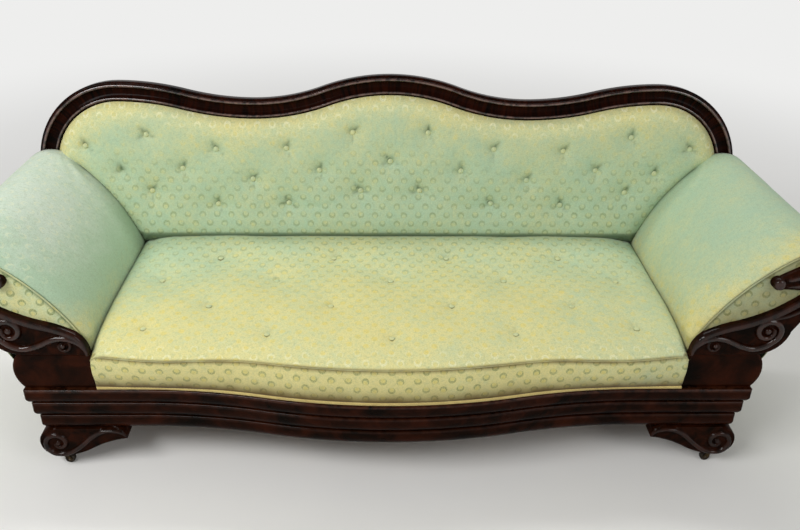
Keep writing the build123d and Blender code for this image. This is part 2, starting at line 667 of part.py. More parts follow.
def on_back(p):
    """Places a section point just in front of the crest's beads."""
    return back_point(p[0], (p[1] - BACK_FOOT_Z) / math.cos(RAKE), ARM_BACK_OUT)


def arm_pad():
    """Right arm's stuffing: drawn in at its front edge, wider at the front than at the back."""
    full = on_front(ARM_FRONT_Y + ARM_EDGE_DEPTH)
    sections = [
        Face(Wire(arm_outline(ROLL_FRONT, ARM_EDGE, on_front(ARM_FRONT_Y)))),
        Face(Wire(arm_outline(ROLL_FRONT, 0, full))),
        Face(Wire(arm_outline(ROLL_BACK, 0, on_back))),
    ]
    return loft(sections, ruled=True)


add_pair("arm_pad", arm_pad())


def arm_rail():
    """Wood core of the roll, from the front wedge to the crest."""
    front = (SEAT_HALF + ROLL_FRONT[0], ROLL_FRONT[1])
    back = (SEAT_HALF + ROLL_BACK[0], ROLL_BACK[1])
    planes = [
        Plane(on_front(ARM_FRONT_Y)(front), x_dir=(1, 0, 0), z_dir=(0, 1, 0)),
        Plane(on_front(ARM_FRONT_Y + ARM_EDGE_DEPTH)(front), x_dir=(1, 0, 0), z_dir=(0, 1, 0)),
        Plane(on_back(back), x_dir=(1, 0, 0), z_dir=tuple(-FACE_NORMAL)),
    ]
    return loft([plane * Circle(ROLL_CORE_R - GLUE_GAP) for plane in planes], ruled=True)


right_arm_rail = arm_rail()
nodes["arm_rails"] = [right_arm_rail, mirrored(right_arm_rail)]

stump_in = SEAT_HALF + SOFT_GAP
stump_out = stump_in + STUMP_WIDTH


def arm_stump():
    """Right stump: straight inside, swelling outside, standing on the rail."""
    at = on_front(STUMP_FRONT)
    middle_z = (RAIL_TOP + STUMP_TOP) / 2
    corners = [(stump_in, RAIL_TOP), (stump_in, STUMP_TOP), (stump_out, STUMP_TOP), (stump_out, RAIL_TOP)]
    low_in, top_in, top_out, low_out = [at(p) for p in corners]
    edges = [
        Line(low_in, top_in),
        Line(top_in, top_out),
        ThreePointArc(top_out, at((stump_out + STUMP_BULGE, middle_z)), low_out),
        Line(low_out, low_in),
    ]
    return plate(edges, STUMP_DEPTH, (0, 1, 0))


add_pair("arm_stump", arm_stump())

lower_rail_x = stump_in + LOWER_RAIL_INSET
lower_rail = block((lower_rail_x, STUMP_BACK, RAIL_TOP),
                   (lower_rail_x + LOWER_RAIL_WIDTH, BACK_RAIL_Y + FRAME_BOARD / 2, ARM_FOOT_Z - GLUE_GAP))
nodes["arm_lower_rails"] = [lower_rail, mirrored(lower_rail)]

# Arm facings: a sawn and carved board that sweeps out from the seat and hooks over under the roll


def facing_outline(at):
    """Outline of the right facing, from points past the seat's side and above the stump."""
    def place(p):
        return at((SEAT_HALF + p[0], STUMP_TOP + p[1]))

    hook = (ROLL_FRONT[0], ROLL_FRONT[1] - STUMP_TOP)
    neck, side, crown = [arc_point(hook, HOOK_R, turn) for turn in HOOK_TURNS]
    foot_in = (SOFT_GAP, 0.0)
    return [
        Line(place(foot_in), place(SCROLL_FOOT)),
        ThreePointArc(place(SCROLL_FOOT), place(SCROLL_LOW), place(SCROLL_OUT)),
        ThreePointArc(place(SCROLL_OUT), place(SCROLL_NECK), place(neck)),
        ThreePointArc(place(neck), place(side), place(crown)),
        ThreePointArc(place(crown), place(LEAF_TOP), place(LEAF_TIP)),
        ThreePointArc(place(LEAF_TIP), place(LEAF_UNDER), place(STRIP_TOP[4])),
        ThreePointArc(place(STRIP_TOP[4]), place(STRIP_TOP[3]), place(STRIP_TOP[2])),
        ThreePointArc(place(STRIP_TOP[2]), place(STRIP_TOP[1]), place(STRIP_TOP[0])),
        Line(place(STRIP_TOP[0]), place(foot_in)),
    ]


add_pair("arm_facing", plate(facing_outline(on_front(0)), PANEL_FRONT, (0, 1, 0)))


def arm_front():
    """Fabric wedge in the front of the right arm, inside its welt and behind the carved board."""
    at = on_front(PANEL_FRONT)
    drawn_in = ARM_EDGE + 2 * WELT_R + SOFT_GAP / 2
    edge = arm_section(ROLL_FRONT, drawn_in)
    centre = edge["centre"]
    radius = ROLL_R - drawn_in
    top = arc_point(centre, radius, (ROLL_JOIN_DEG + ROLL_END_DEG) / 2)
    end = arc_point(centre, radius, ROLL_END_DEG)
    low = (edge["bend"][0], STUMP_TOP + SOFT_GAP)
    edges = [
        Line(at(low), at(edge["bend"])),
        ThreePointArc(at(edge["bend"]), at(edge["swell"]), at(edge["join"])),
        ThreePointArc(at(edge["join"]), at(top), at(end)),
        Line(at(end), at(low)),
    ]
    return plate(edges, ARM_FRONT_Y - PANEL_FRONT, (0, 1, 0))


add_pair("arm_front", arm_front())


def arm_welt():
    """Piped cord round the front edge of the right arm."""
    at = on_front((PANEL_FRONT + ARM_FRONT_Y) / 2)
    edge = arm_section(ROLL_FRONT, ARM_EDGE + WELT_R - GLUE_GAP)
    centre = edge["centre"]
    radius = ROLL_R - ARM_EDGE - WELT_R + GLUE_GAP
    top = arc_point(centre, radius, (ROLL_JOIN_DEG + ROLL_END_DEG) / 2)
    end = arc_point(centre, radius, ROLL_END_DEG)
    path = Wire([
        ThreePointArc(at(edge["bend"]), at(edge["swell"]), at(edge["join"])),
        ThreePointArc(at(edge["join"]), at(top), at(end)),
    ])
    section = Plane(path @ 0, z_dir=path % 0) * Circle(WELT_R - GLUE_GAP)
    return sweep(section, path=path)


right_welt = arm_welt()
nodes["arm_welts"] = [right_welt, mirrored(right_welt)]


def cover_outline(roll, at):
    """Thin section of the outside arm: from under the roll in to the end rail."""
    centre = (SEAT_HALF + roll[0], roll[1])
    top = arc_point(centre, ROLL_CORE_R + ARM_EDGE, ROLL_END_DEG - COVER_DROP_DEG)
    foot = (END_RAIL_X + GLUE_GAP, (RAIL_TOP + RAIL_BOTTOM) / 2)
    side = (stump_out + STUMP_BULGE / 2, RAIL_TOP + COVER_TURN)
    hollow = ((top[0] + side[0]) / 2 - COVER_HOLLOW, (top[1] + side[1]) / 2)
    inner = [at(p) for p in (top, hollow, side, foot)]
    outer = [at((p[0] + COVER_THICK, p[1])) for p in (top, hollow, side, foot)]
    return [
        ThreePointArc(*inner[:3]),
        Line(inner[2], inner[3]),
        Line(inner[3], outer[3]),
        Line(outer[3], outer[2]),
        ThreePointArc(outer[2], outer[1], outer[0]),
        Line(outer[0], inner[0]),
    ]


def outside_arm():
    """Right outside-arm cover, from the stump to the stile, notched over the end of the front rail."""
    front = Face(Wire(cover_outline(ROLL_FRONT, on_front(STUMP_BACK + GLUE_GAP))))
    back = Face(Wire(cover_outline(ROLL_BACK, on_back)))
    rail_end = block((0, 0, 0), (RAIL_HALF, BAND_DEPTH + GLUE_GAP, RAIL_TOP))
    return loft([front, back], ruled=True) - rail_end


add_pair("outside_arm", outside_arm())

# Sprung seat: webbing, springs, hessian, stuffing, buttons, welt and gimp

web_low = RAIL_BOTTOM - WEB_THICK
web_pitch_x = 2 * SEAT_HALF / (SPRING_COLUMNS + 1)
spring_span = BACK_RAIL_Y - CORE_BACK
web_pitch_y = spring_span / (SPRING_ROWS + 1)
spring_places = [(-SEAT_HALF + web_pitch_x * (i + 1), CORE_BACK + web_pitch_y * (j + 1))
                 for i in range(SPRING_COLUMNS) for j in range(SPRING_ROWS)]
nodes["seat_webbing"] = []
for column in range(SPRING_COLUMNS):
    web_x = -SEAT_HALF + web_pitch_x * (column + 1)
    nodes["seat_webbing"].append(block((web_x - WEB_WIDTH / 2, bow_line(web_x, BAND_DEPTH), web_low),
                                       (web_x + WEB_WIDTH / 2, BACK_RAIL_Y + FRAME_BOARD / 2, RAIL_BOTTOM)))
for row in range(SPRING_ROWS):
    web_y = CORE_BACK + web_pitch_y * (row + 1)
    nodes["seat_webbing"].append(block((-END_RAIL_X, web_y - WEB_WIDTH / 2, web_low - WEB_THICK),
                                       (END_RAIL_X, web_y + WEB_WIDTH / 2, web_low)))


def coil_spring(x, y):
    """Open coil from the webbing to the hessian: half turns of a helix joined end to end."""
    low = RAIL_BOTTOM + SPRING_WIRE_R + GLUE_GAP
    high = RAIL_TOP - SPRING_WIRE_R - GLUE_GAP
    quarters = 4 * SPRING_TURNS

    def turn(step):
        px, py = arc_point((x, y), SPRING_R, 90.0 * step)
        return (px, py, low + (high - low) * step / quarters)

    path = Wire([ThreePointArc(turn(k), turn(k + 1), turn(k + 2)) for k in range(0, quarters, 2)])
    section = Plane(path @ 0, z_dir=path % 0) * Circle(SPRING_WIRE_R)
    return sweep(section, path=path)


first_spring = coil_spring(*spring_places[0])
nodes["seat_springs"] = [Pos(x - spring_places[0][0], y - spring_places[0][1], 0) * first_spring
                         for x, y in spring_places]


seat_front = GIMP_DEPTH + 2 * GLUE_GAP + SEAT_INSET
hessian_top = RAIL_TOP + HESSIAN


def seat_outline(z, grow=0.0, run_in=0.0):
    """Plan of the seat: the rail's bow in front, square sides and back, swollen or run in for the crown."""
    half = SEAT_HALF - SEAT_INSET + grow - run_in * SEAT_SIDE_SHARE
    back = SEAT_DEPTH - SEAT_BACK_INSET + grow - run_in * SEAT_BACK_SHARE
    front = seat_front - grow + run_in
    edges = serpentine(half, front, z)
    edges.append(Line((half, front, z), (half, back, z)))
    edges.append(Line((half, back, z), (-half, back, z)))
    edges.append(Line((-half, back, z), (-half, front, z)))
    return Face(Wire(edges))


nodes["seat_hessian"] = [extrude(seat_outline(RAIL_TOP), amount=HESSIAN, dir=(0, 0, 1))]


def seat_pad():
    """Stuffed seat: boxed front drawn in at top and bottom, crowned top, a hollow at each button."""
    boxing = [
        seat_outline(hessian_top + GLUE_GAP),
        seat_outline((hessian_top + SEAT_EDGE_Z) / 2, grow=SEAT_SWELL),
        seat_outline(SEAT_EDGE_Z),
    ]
    crown = [seat_outline(SEAT_EDGE_Z + share * SEAT_CROWN, run_in=run_in) for run_in, share in SEAT_TIERS]
    return loft(boxing + crown, ruled=True)


def seat_height(x, y):
    """Height of the crown over a point of the seat, before the buttons draw it in."""
    side = (SEAT_HALF - SEAT_INSET - abs(x)) / SEAT_SIDE_SHARE
    behind = (SEAT_DEPTH - SEAT_BACK_INSET - y) / SEAT_BACK_SHARE
    inset = max(0.0, min(y - bow_line(x, seat_front), side, behind))
    last = (0.0, 0.0)
    for step in SEAT_TIERS:
        if inset < step[0]:
            share = last[1] + (step[1] - last[1]) * (inset - last[0]) / (step[0] - last[0])
            return SEAT_EDGE_Z + SEAT_CROWN * share
        last = step
    return SEAT_EDGE_Z + SEAT_CROWN


def button():
    """A covered button with an eased edge, face up."""
    shape = Cylinder(BUTTON_R, BUTTON_THICK)
    return fillet(shape.edges().sort_by(Axis.Z)[-1:], BUTTON_THICK / 3)


button_lift = BUTTON_R ** 2 / (2 * TUFT_R) + BUTTON_GAP + BUTTON_THICK / 2
seat = seat_pad()
nodes["seat_buttons"] = []
seat_rows = zip(SEAT_ROW_DEPTHS, SEAT_ROW_COUNTS, SEAT_ROW_PITCHES, (FRONT_ROW_BOW, 0.0, 0.0, 0.0))
for row_depth, row_count, row_pitch, row_bow in seat_rows:
    for place in range(row_count):
        button_x = (place - (row_count - 1) / 2) * row_pitch * SEAT_HALF
        button_y = row_depth * SEAT_DEPTH + row_bow * bow_line(button_x, 0.0) / RAIL_BOW
        hollow_z = seat_height(button_x, button_y) - TUFT_DEPTH
        seat -= Pos(button_x, button_y, hollow_z + TUFT_R) * Sphere(TUFT_R)
        nodes["seat_buttons"].append(Pos(button_x, button_y, hollow_z + button_lift) * button())
nodes["seat_pad"] = [seat]


def seat_welt():
    """Piped cord along the top of the boxed front."""
    forward = WELT_R / 2
    lift = math.sqrt((WELT_R + GLUE_GAP) ** 2 - forward ** 2)
    path = Wire(serpentine(SEAT_HALF - SEAT_INSET, seat_front - forward, SEAT_EDGE_Z + lift))
    section = Plane(path @ 0, z_dir=path % 0) * Circle(WELT_R - GLUE_GAP)
    return sweep(section, path=path)


nodes["seat_welt"] = [seat_welt()]
gimp_back = seat_front - GLUE_GAP - SEAT_SWELL
gimp_front = gimp_back - GIMP_DEPTH
gimp_top = RAIL_TOP + GIMP_HEIGHT
nodes["seat_gimp"] = [bowed_strip(SEAT_HALF - SEAT_INSET, gimp_front, gimp_back, RAIL_TOP, gimp_top)]

# Back upholstery: webbing, hessian, buttoned stuffing and the outside cover

WEB_FRONT = -TACK_RAIL_FRONT + WEB_THICK
HESSIAN_FRONT = WEB_FRONT + HESSIAN
PAD_BACK = HESSIAN_FRONT + GLUE_GAP


def back_pad_outline(inset, out):
    """Inside back on the raked face: under the crest, between the arms, above the seat."""
    arm = arm_section(ROLL_BACK, -SOFT_GAP)
    lean, lean_r = circle_through(arm["bend"], arm["swell"], arm["join"])
    lean = (lean[0], (lean[1] - BACK_FOOT_Z) / math.cos(RAKE))
    lean_r += inset
    crest_inset = CREST_WIDTH + SOFT_GAP + inset
    right = crest_arcs(crest_inset)
    end_centre = (CREST_SHOULDER_X, CREST_END)
    end_r = CREST_END_R - crest_inset
    corner = circles_meet(end_centre, end_r, lean, lean_r)
    angle = math.degrees(math.atan2(corner[1] - end_centre[1], corner[0] - end_centre[0]))
    right[4] = [arc_point(end_centre, end_r, 90 + (angle - 90) * k / 2) for k in (0, 1, 2)]
    foot_up = BACK_PAD_FOOT + inset
    foot = (lean[0] - math.sqrt(lean_r ** 2 - (foot_up - lean[1]) ** 2), foot_up)
    half_way = [math.degrees(math.atan2(p[1] - lean[1], p[0] - lean[0])) % 360 for p in (corner, foot)]
    side = [corner, arc_point(lean, lean_r, sum(half_way) / 2), foot]
    edges = [face_arc(flipped(p), out) for p in reversed(right)] + [face_arc(p, out) for p in right]
    edges.append(face_arc(side, out))
    edges.append(Line(back_point(*foot, out), back_point(-foot[0], foot[1], out)))
    edges.append(face_arc(flipped(side), out))
    return Face(Wire(edges))


def back_rise(x, up):
    """How far the stuffing stands out at a point of the back, before the buttons draw it in."""
    nearest = min(math.dist((x, up), p) for arc in crest_arcs(CREST_WIDTH) for p in arc)
    inset = min(nearest, up - BACK_PAD_FOOT)
    last = BACK_TIERS[0]
    for step in BACK_TIERS[1:]:
        if inset < step[0]:
            return BACK_SWELL * (last[1] + (step[1] - last[1]) * (inset - last[0]) / (step[0] - last[0]))
        last = step
    return BACK_SWELL


back_sections = [back_pad_outline(0.0, PAD_BACK)]
back_sections += [back_pad_outline(inset, BACK_SWELL * share) for inset, share in BACK_TIERS]
back = loft(back_sections, ruled=True)
nodes["back_buttons"] = []
back_places = [(side * share, up) for share, up in BACK_ROW_TOP + BACK_ROW_MIDDLE + BACK_ROW_LOW
               for side in ((1, -1) if share else (1,))]
tilt = Rot(90 - BACK_RAKE_DEG, 0, 0)
for back_share, back_up in back_places:
    back_x = back_share * SEAT_HALF
    hollow = back_rise(back_x, back_up) - TUFT_DEPTH
    back -= Pos(*back_point(back_x, back_up, hollow + TUFT_R)) * Sphere(TUFT_R)
    if (back_share, back_up) != LOST_BUTTON:
        button_place = back_point(back_x, back_up, hollow + button_lift)
        nodes["back_buttons"].append(Pos(*button_place) * tilt * button())
nodes["back_pad"] = [back]

hessian_outline = back_pad_outline(BACK_HESSIAN_INSET, WEB_FRONT)
nodes["back_hessian"] = [extrude(hessian_outline, amount=HESSIAN, dir=tuple(FACE_NORMAL))]
web_edges = under_crest(opening_inset, TACK_RAIL[0], -TACK_RAIL_FRONT)
web_opening = plate(web_edges, TACK_RAIL_FRONT, tuple(FACE_NORMAL))
nodes["back_webbing"] = []
for column in range(BACK_WEB_COUNT):
    web_x = (column - (BACK_WEB_COUNT - 1) / 2) * BACK_WEB_PITCH
    strip = face_block((web_x - WEB_WIDTH / 2, TACK_RAIL[0]), (web_x + WEB_WIDTH / 2, CREST_TOP),
                       -TACK_RAIL_FRONT, WEB_FRONT)
    nodes["back_webbing"].append(strip & web_opening)

cover_foot = (RAIL_TOP - BACK_FOOT_Z) / math.cos(RAKE) + CREST_BACK * math.sin(RAKE) + SOFT_GAP


def outside_back():
    """Cloth cover that closes the back, tacked to the crest and stiles."""
    out = -CREST_BACK - GLUE_GAP - COVER_THICK
    edges = crest_edge(BACK_COVER_INSET, out)
    sides = [face_arc(p, out) for p in stile_line(BACK_COVER_INSET)]
    left = [face_arc(flipped(p), out) for p in stile_line(BACK_COVER_INSET)]
    foot = Line(sides[-1] @ 1, left[-1] @ 0)
    cover = plate(edges + sides + left + [foot], COVER_THICK, tuple(FACE_NORMAL))
    level = back_point(0, cover_foot, out)
    return split(cover, Plane((0, 0, level[2])), keep=Keep.TOP)


nodes["outside_back"] = [outside_back()]

# Written with the origin on the floor under the middle of the settee's box

os.makedirs("parts", exist_ok=True)
for name, solids in nodes.items():
    placed = [Pos(0, -MIDDLE_Y, 0) * solid for solid in solids]
    export_step(placed[0] if len(placed) == 1 else Compound(children=placed), f"parts/{name}.step")
for caster, (caster_x, caster_y, caster_side) in CASTERS.items():
    caster_row_y = round(caster_y - MIDDLE_Y, 3)
    axle_x = round(caster_x - caster_side * CASTER_TRAIL, 3)
    print(caster, "swivel", round(caster_x, 3), caster_row_y, "axle", axle_x, caster_row_y, WHEEL_R)
print("back rail's rear face", round(back_rail_rear - MIDDLE_Y, 3))
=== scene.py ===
import math

import bpy
import numpy as np
from mathutils import Matrix, Vector


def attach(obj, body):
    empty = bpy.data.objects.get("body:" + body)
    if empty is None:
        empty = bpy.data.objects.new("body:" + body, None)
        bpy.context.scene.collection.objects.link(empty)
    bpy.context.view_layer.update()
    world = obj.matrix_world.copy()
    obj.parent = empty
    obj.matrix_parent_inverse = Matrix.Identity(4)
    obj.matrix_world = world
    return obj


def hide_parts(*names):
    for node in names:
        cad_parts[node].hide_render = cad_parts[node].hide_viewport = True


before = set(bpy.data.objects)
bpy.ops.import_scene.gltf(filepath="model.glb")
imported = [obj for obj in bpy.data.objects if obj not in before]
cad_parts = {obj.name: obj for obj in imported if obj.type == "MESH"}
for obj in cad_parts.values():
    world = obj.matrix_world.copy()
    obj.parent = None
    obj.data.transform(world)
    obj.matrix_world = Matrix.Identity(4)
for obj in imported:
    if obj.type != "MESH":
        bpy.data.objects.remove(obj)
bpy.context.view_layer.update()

# Front seat rail: three mahogany bands, one on another, glued to a softwood core.
# Each is swept round underneath, eased along its top edge, and stepped in from the one above; the line
# runs straight at the ends, hollow on the flanks and bowed in the middle.
MM = 0.001               # sizes are drawn in millimetres, with Y = 0 on the face of the rail's ends
FRAME_ORIGIN = 300.556   # how far behind that face the frame has its own origin
RAIL_HALF = 922.0
RAIL_TOP = 260.0
RAIL_BOW = 68.0
BOW_HALF = 640.0
BOW_TURN = 2 * math.atan2(RAIL_BOW, BOW_HALF)
BOW_R = BOW_HALF / (2 * math.sin(BOW_TURN))
BAND_HEIGHT = 44.0
BAND_DEPTH = 38.0
BAND_END_STEP = 11.0
BAND_FRONT_STEP = 6.0
BAND_EASE = 4.5          # radius of the top edge
BAND_FLAT = 9.0          # where the face is fullest, below the top
BAND_SWELL = 0.3
BAND_ROUND = 16.0        # depth and height of the sweep underneath
BAND_SWEEP = 30.0
BAND_CORNER = 9.0


class Shade:
    """A shader socket that takes part in sums, so that a pattern is written as its formula."""

    def __init__(self, tree, socket):
        self.tree = tree
        self.socket = socket

    def node(self, kind, sockets, output=0, **settings):
        """Any other node: its settings first, then values or links for its sockets."""
        made = self.tree.nodes.new("ShaderNode" + kind)
        for name, value in settings.items():
            setattr(made, name, value)
        for name, value in sockets.items():
            if isinstance(value, Shade):
                self.tree.links.new(value.socket, made.inputs[name])
            else:
                made.inputs[name].default_value = value
        return Shade(self.tree, made.outputs[output])

    def maths(self, operation, first, second=0.0):
        return self.node("Math", {0: first, 1: second}, operation=operation)

    def __add__(self, other):
        return self.maths("ADD", self, other)

    def __sub__(self, other):
        return self.maths("SUBTRACT", self, other)

    def __rsub__(self, other):
        return self.maths("SUBTRACT", other, self)

    def __mul__(self, other):
        return self.maths("MULTIPLY", self, other)

    def __truediv__(self, other):
        return self.maths("DIVIDE", self, other)

    def __mod__(self, other):
        return self.maths("FLOORED_MODULO", self, other)

    def __pow__(self, other):
        return self.maths("POWER", self, other)

    __radd__ = __add__
    __rmul__ = __mul__

    def ramp(self, low, high):
        """Nought below low, one above high, and a smooth step between them."""
        sockets = {"Value": self, "From Min": low, "From Max": high}
        return self.node("MapRange", sockets, interpolation_type="SMOOTHSTEP")

    def mix(self, low, high):
        """Colour between low, at nought, and high, at one."""
        return self.node("Mix", {0: self, 6: low, 7: high}, output=2, data_type="RGBA")

    def noise(self, scale, detail=2.0, distortion=0.0):
        """Smooth random field on the place held by this vector."""
        sockets = {"Vector": self, "Scale": scale, "Detail": detail, "Distortion": distortion}
        return self.node("TexNoise", sockets)

    def stretched(self, x, y, z):
        """This place drawn out or pressed together along each axis."""
        return self.node("VectorMath", {0: self, 1: (x, y, z)}, operation="MULTIPLY")

    def part(self, axis):
        return self.node("SeparateXYZ", {0: self}, output=axis)

    def feeds(self, shader, socket):
        self.tree.links.new(self.socket, shader.inputs[socket])

    def raises(self, shader, strength, distance):
        """This height as a bump of the surface."""
        bump = self.node("Bump", {"Height": self, "Strength": strength, "Distance": distance})
        bump.feeds(shader, "Normal")


def finish(name, **constants):
    """A new material with its shader, and its Object coordinates as a first socket."""
    material = bpy.data.materials.new(name)
    material.use_nodes = True
    tree = material.node_tree
    shader = tree.nodes["Principled BSDF"]
    for socket, value in constants.items():
        shader.inputs[socket.replace("_", " ")].default_value = value
    return material, shader, Shade(tree, tree.nodes.new("ShaderNodeTexCoord").outputs["Object"])


def srgb(red, green, blue):
    """Linear colour of an eight-bit colour."""
    parts = [c / 255 for c in (red, green, blue)]
    return tuple(c / 12.92 if c <= 0.04045 else ((c + 0.055) / 1.055) ** 2.4 for c in parts) + (1.0,)


def field(place, name):
    """A number painted on the piece's points."""
    return place.node("Attribute", {}, output=2, attribute_name=name)


def polished_wood(name, dark, red, worn_and_highlit, grain, gloss, shine, mapped=False):
    """Old polished mahogany: drawn-out streaks, a slow figure, rubbed edges and dull patches of polish.

    On a mapped piece the streaks follow its own lengthwise and crosswise measures. The painted polish is
    the bright film that hands and cloths keep up on raised work. Where the wear field is painted, the wood
    turns paler, as rubbed edges and as painted highlight.
    """
    material, shader, place = finish(name, Specular_IOR_Level=shine, Coat_IOR=1.8, Coat_Roughness=0.1)
    field(place, "polish").feeds(shader, "Coat Weight")
    along = place.node("UVMap", {}, uv_map="weave") if mapped else place
    streaks = along.stretched(*grain).noise(1.0, 6.0, 0.6)
    figure = place.noise(7.0, 3.0, 1.2)
    tone = (0.72 * streaks + 0.5 * figure - 0.1).ramp(0.32, 0.78)
    pores = along.stretched(*(4 * g for g in grain)).noise(2.0, 3.0)
    # paler where the wear field is painted: rubbed edges, and painted highlight along edges and bead crowns
    rubbed_and_sheen = field(place, "wear_and_highlight") * place.noise(60.0, 3.0).ramp(0.35, 0.62)
    colour = rubbed_and_sheen.mix((tone * (0.75 + 0.5 * pores)).mix(dark, red), worn_and_highlit)
    colour.feeds(shader, "Base Color")
    (gloss + 0.14 * place.noise(22.0, 4.0) + 0.08 * pores - 0.07).feeds(shader, "Roughness")
    pores.raises(shader, 0.08, 0.0005)
    return material


def bow(x, behind):
    """Plan line at a depth behind the rail's face: straight, then an arc in, and an arc out to the middle."""
    reach = np.abs(x)
    flank = np.sqrt((BOW_R + behind) ** 2 - np.clip(BOW_HALF - reach, 0, None) ** 2) - BOW_R
    middle = BOW_R - RAIL_BOW - np.sqrt(np.maximum((BOW_R - behind) ** 2 - reach ** 2, 0))
    return np.where(reach >= (BOW_R - behind) * np.sin(BOW_TURN), flank, middle)


def quads(rows, columns, wrap=False):
    """Faces between the neighbours in a grid of points, row by row; wrap joins last column to first."""
    row, column = np.meshgrid(np.arange(rows - 1), np.arange(columns - (not wrap)), indexing="ij")
    beside = (column + 1) % columns
    corners = (row * columns + column, row * columns + beside,
               (row + 1) * columns + beside, (row + 1) * columns + column)
    return np.stack(corners, -1).reshape(-1, 4)


def add_piece(name, points, skins, material, replaced=(), fields=None, closed=True, sharp=None):
    """A piece of the settee from drawn points and skins, each a set of faces with its weave map or None.

    A closed piece is turned the right way out by the sign of its volume.
    """
    place = (points - (0.0, FRAME_ORIGIN, 0.0)) * MM
    skins = [(np.asarray(faces), weave) for faces, weave in skins]
    if closed:
        fans = [faces[:, [0, k, k + 1]] for faces, _ in skins for k in range(1, faces.shape[1] - 1)]
        a, b, c = place[np.concatenate(fans)].transpose(1, 0, 2)
        if np.einsum("ij,ij->", a, np.cross(b, c)) < 0:
            skins = [(faces[:, ::-1], weave) for faces, weave in skins]
    mesh = bpy.data.meshes.new(name)
    mesh.from_pydata(place.tolist(), [], [row for faces, _ in skins for row in faces.tolist()])
    if any(weave is not None for _, weave in skins):
        blank = np.zeros((len(points), 2))
        corners = [(blank if weave is None else weave)[faces].reshape(-1, 2) for faces, weave in skins]
        mesh.uv_layers.new(name="weave").data.foreach_set("uv", np.concatenate(corners).ravel() * MM)
    for label, values in (fields or {}).items():
        painted = mesh.attributes.new(label, "FLOAT", "POINT")
        painted.data.foreach_set("value", np.broadcast_to(values, len(points)).astype(np.float32))
    mesh.polygons.foreach_set("use_smooth", np.ones(len(mesh.polygons), bool))
    if sharp:
        mesh.set_sharp_from_angle(angle=math.radians(sharp))
    mesh.materials.append(material)
    piece = bpy.data.objects.new(name, mesh)
    bpy.context.scene.collection.objects.link(piece)
    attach(piece, "settee")
    if replaced:
        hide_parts(*replaced)
    return piece


def rail_band(index):
    """Section carried along the bow: eased top edge, flat face, quarter ellipse underneath, flat back.

    Near each end the section is cut by the same roundings, run across the end.
    """
    half = RAIL_HALF - BAND_END_STEP * index
    front = BAND_FRONT_STEP * index
    high = RAIL_TOP - BAND_HEIGHT * index
    low = high - BAND_HEIGHT
    run_in = np.array((0, 0.12, 0.4, 0.9, 1.6, 2.6, 4.0, 5.8, 8.0, 10.5, 13.0, 16.0))
    inner = np.linspace(-half + 20, half - 20, 221)
    x = np.concatenate((-half + run_in, inner, (half - run_in)[::-1]))[:, None]
    turn = np.radians(np.linspace(90, 180, 7))
    under = np.radians(np.linspace(180, 270, 13))
    inset = np.concatenate((BAND_EASE * (1 + np.cos(turn)), (-BAND_SWELL,), BAND_ROUND * (1 + np.cos(under))))
    height = np.concatenate((high - BAND_EASE * (1 - np.sin(turn)), (high - BAND_FLAT,),
                             low + BAND_SWEEP * (1 + np.sin(under))))
    behind = np.concatenate(((BAND_DEPTH,), front + inset, (BAND_DEPTH,)))
    level = np.concatenate(((high,), height, (low,)))
    end = half - np.abs(x)

    def rounding(run, rise):
        return rise * (1 - np.sqrt(1 - np.clip(1 - end / run, 0, None) ** 2))

    y = bow(x, behind)
    y = np.where(end < BAND_CORNER, np.maximum(y, front + rounding(BAND_CORNER, BAND_CORNER)), y)
    z = np.clip(level, low + rounding(BAND_ROUND, BAND_SWEEP), high - rounding(BAND_EASE, BAND_EASE))
    points = np.stack(np.broadcast_arrays(x, y, z), -1)
    rows, columns = points.shape[:2]
    # the eased top edge is painted paler, as wear and as painted highlight, less on each lower band
    top_wear_and_highlight = np.full(len(turn), 0.3 / (1 + index))
    wear_and_highlight = np.concatenate(((0,), top_wear_and_highlight, np.zeros(len(under) + 2)))
    caps = np.arange(columns) + np.array([[0], [(rows - 1) * columns]])
    caps[0] = caps[0][::-1]
    return points.reshape(-1, 3), quads(rows, columns, wrap=True), caps, np.tile(wear_and_highlight, rows)


rail_wood = polished_wood("rail_mahogany", srgb(9, 4, 1), srgb(50, 19, 6), srgb(96, 54, 34), (14, 90, 16),
                          gloss=0.2, shine=0.035)
for band_index, band_name in enumerate(("upper", "middle", "lower")):
    band_points, band_faces, band_caps, band_wear_and_highlight = rail_band(band_index)
    add_piece("rail_" + band_name, band_points, [(band_faces, None), (band_caps, None)], rail_wood,
              ["rail_band_" + band_name], {"wear_and_highlight": 0.8 * band_wear_and_highlight, "polish": 0.5 * band_wear_and_highlight},
              sharp=40)

# Front feet: a scroll bracket of solid mahogany under each end of the rail, glued up behind.
# A carved bead runs from the curled tip along the sweep and winds into a volute over the caster.
FOOT_FRONT = 12.0
FOOT_BACK = 58.0
FOOT_LOW = 38.2          # on the caster's plate
FOOT_HIGH = 128.0        # under the rail
FOOT_VOLUTE = (868.0, 80.0)
FOOT_SUNK = 6.0          # how far the ground lies below the rim
CARVING_CELL = 1.5
SIDES = ((1, "right"), (-1, "left"))


def arc(start, middle, end, count=24):
    """Points along the circle through three points; its centre is where the chords' bisectors cross."""
    three = np.array((start, middle, end), float)
    squares = (three ** 2).sum(1)
    centre = np.linalg.solve(2 * (three[1:] - three[0]), squares[1:] - squares[0])
    turns = np.unwrap(np.arctan2(three[:, 1] - centre[1], three[:, 0] - centre[0]))
    swept = np.linspace(turns[0], turns[2], count)
    return centre + math.dist(start, centre) * np.stack((np.cos(swept), np.sin(swept)), -1)


def joined(*runs):
    """Runs of points laid end to end, without the points they share."""
    return np.concatenate([np.asarray(run, float)[:-1] for run in runs])


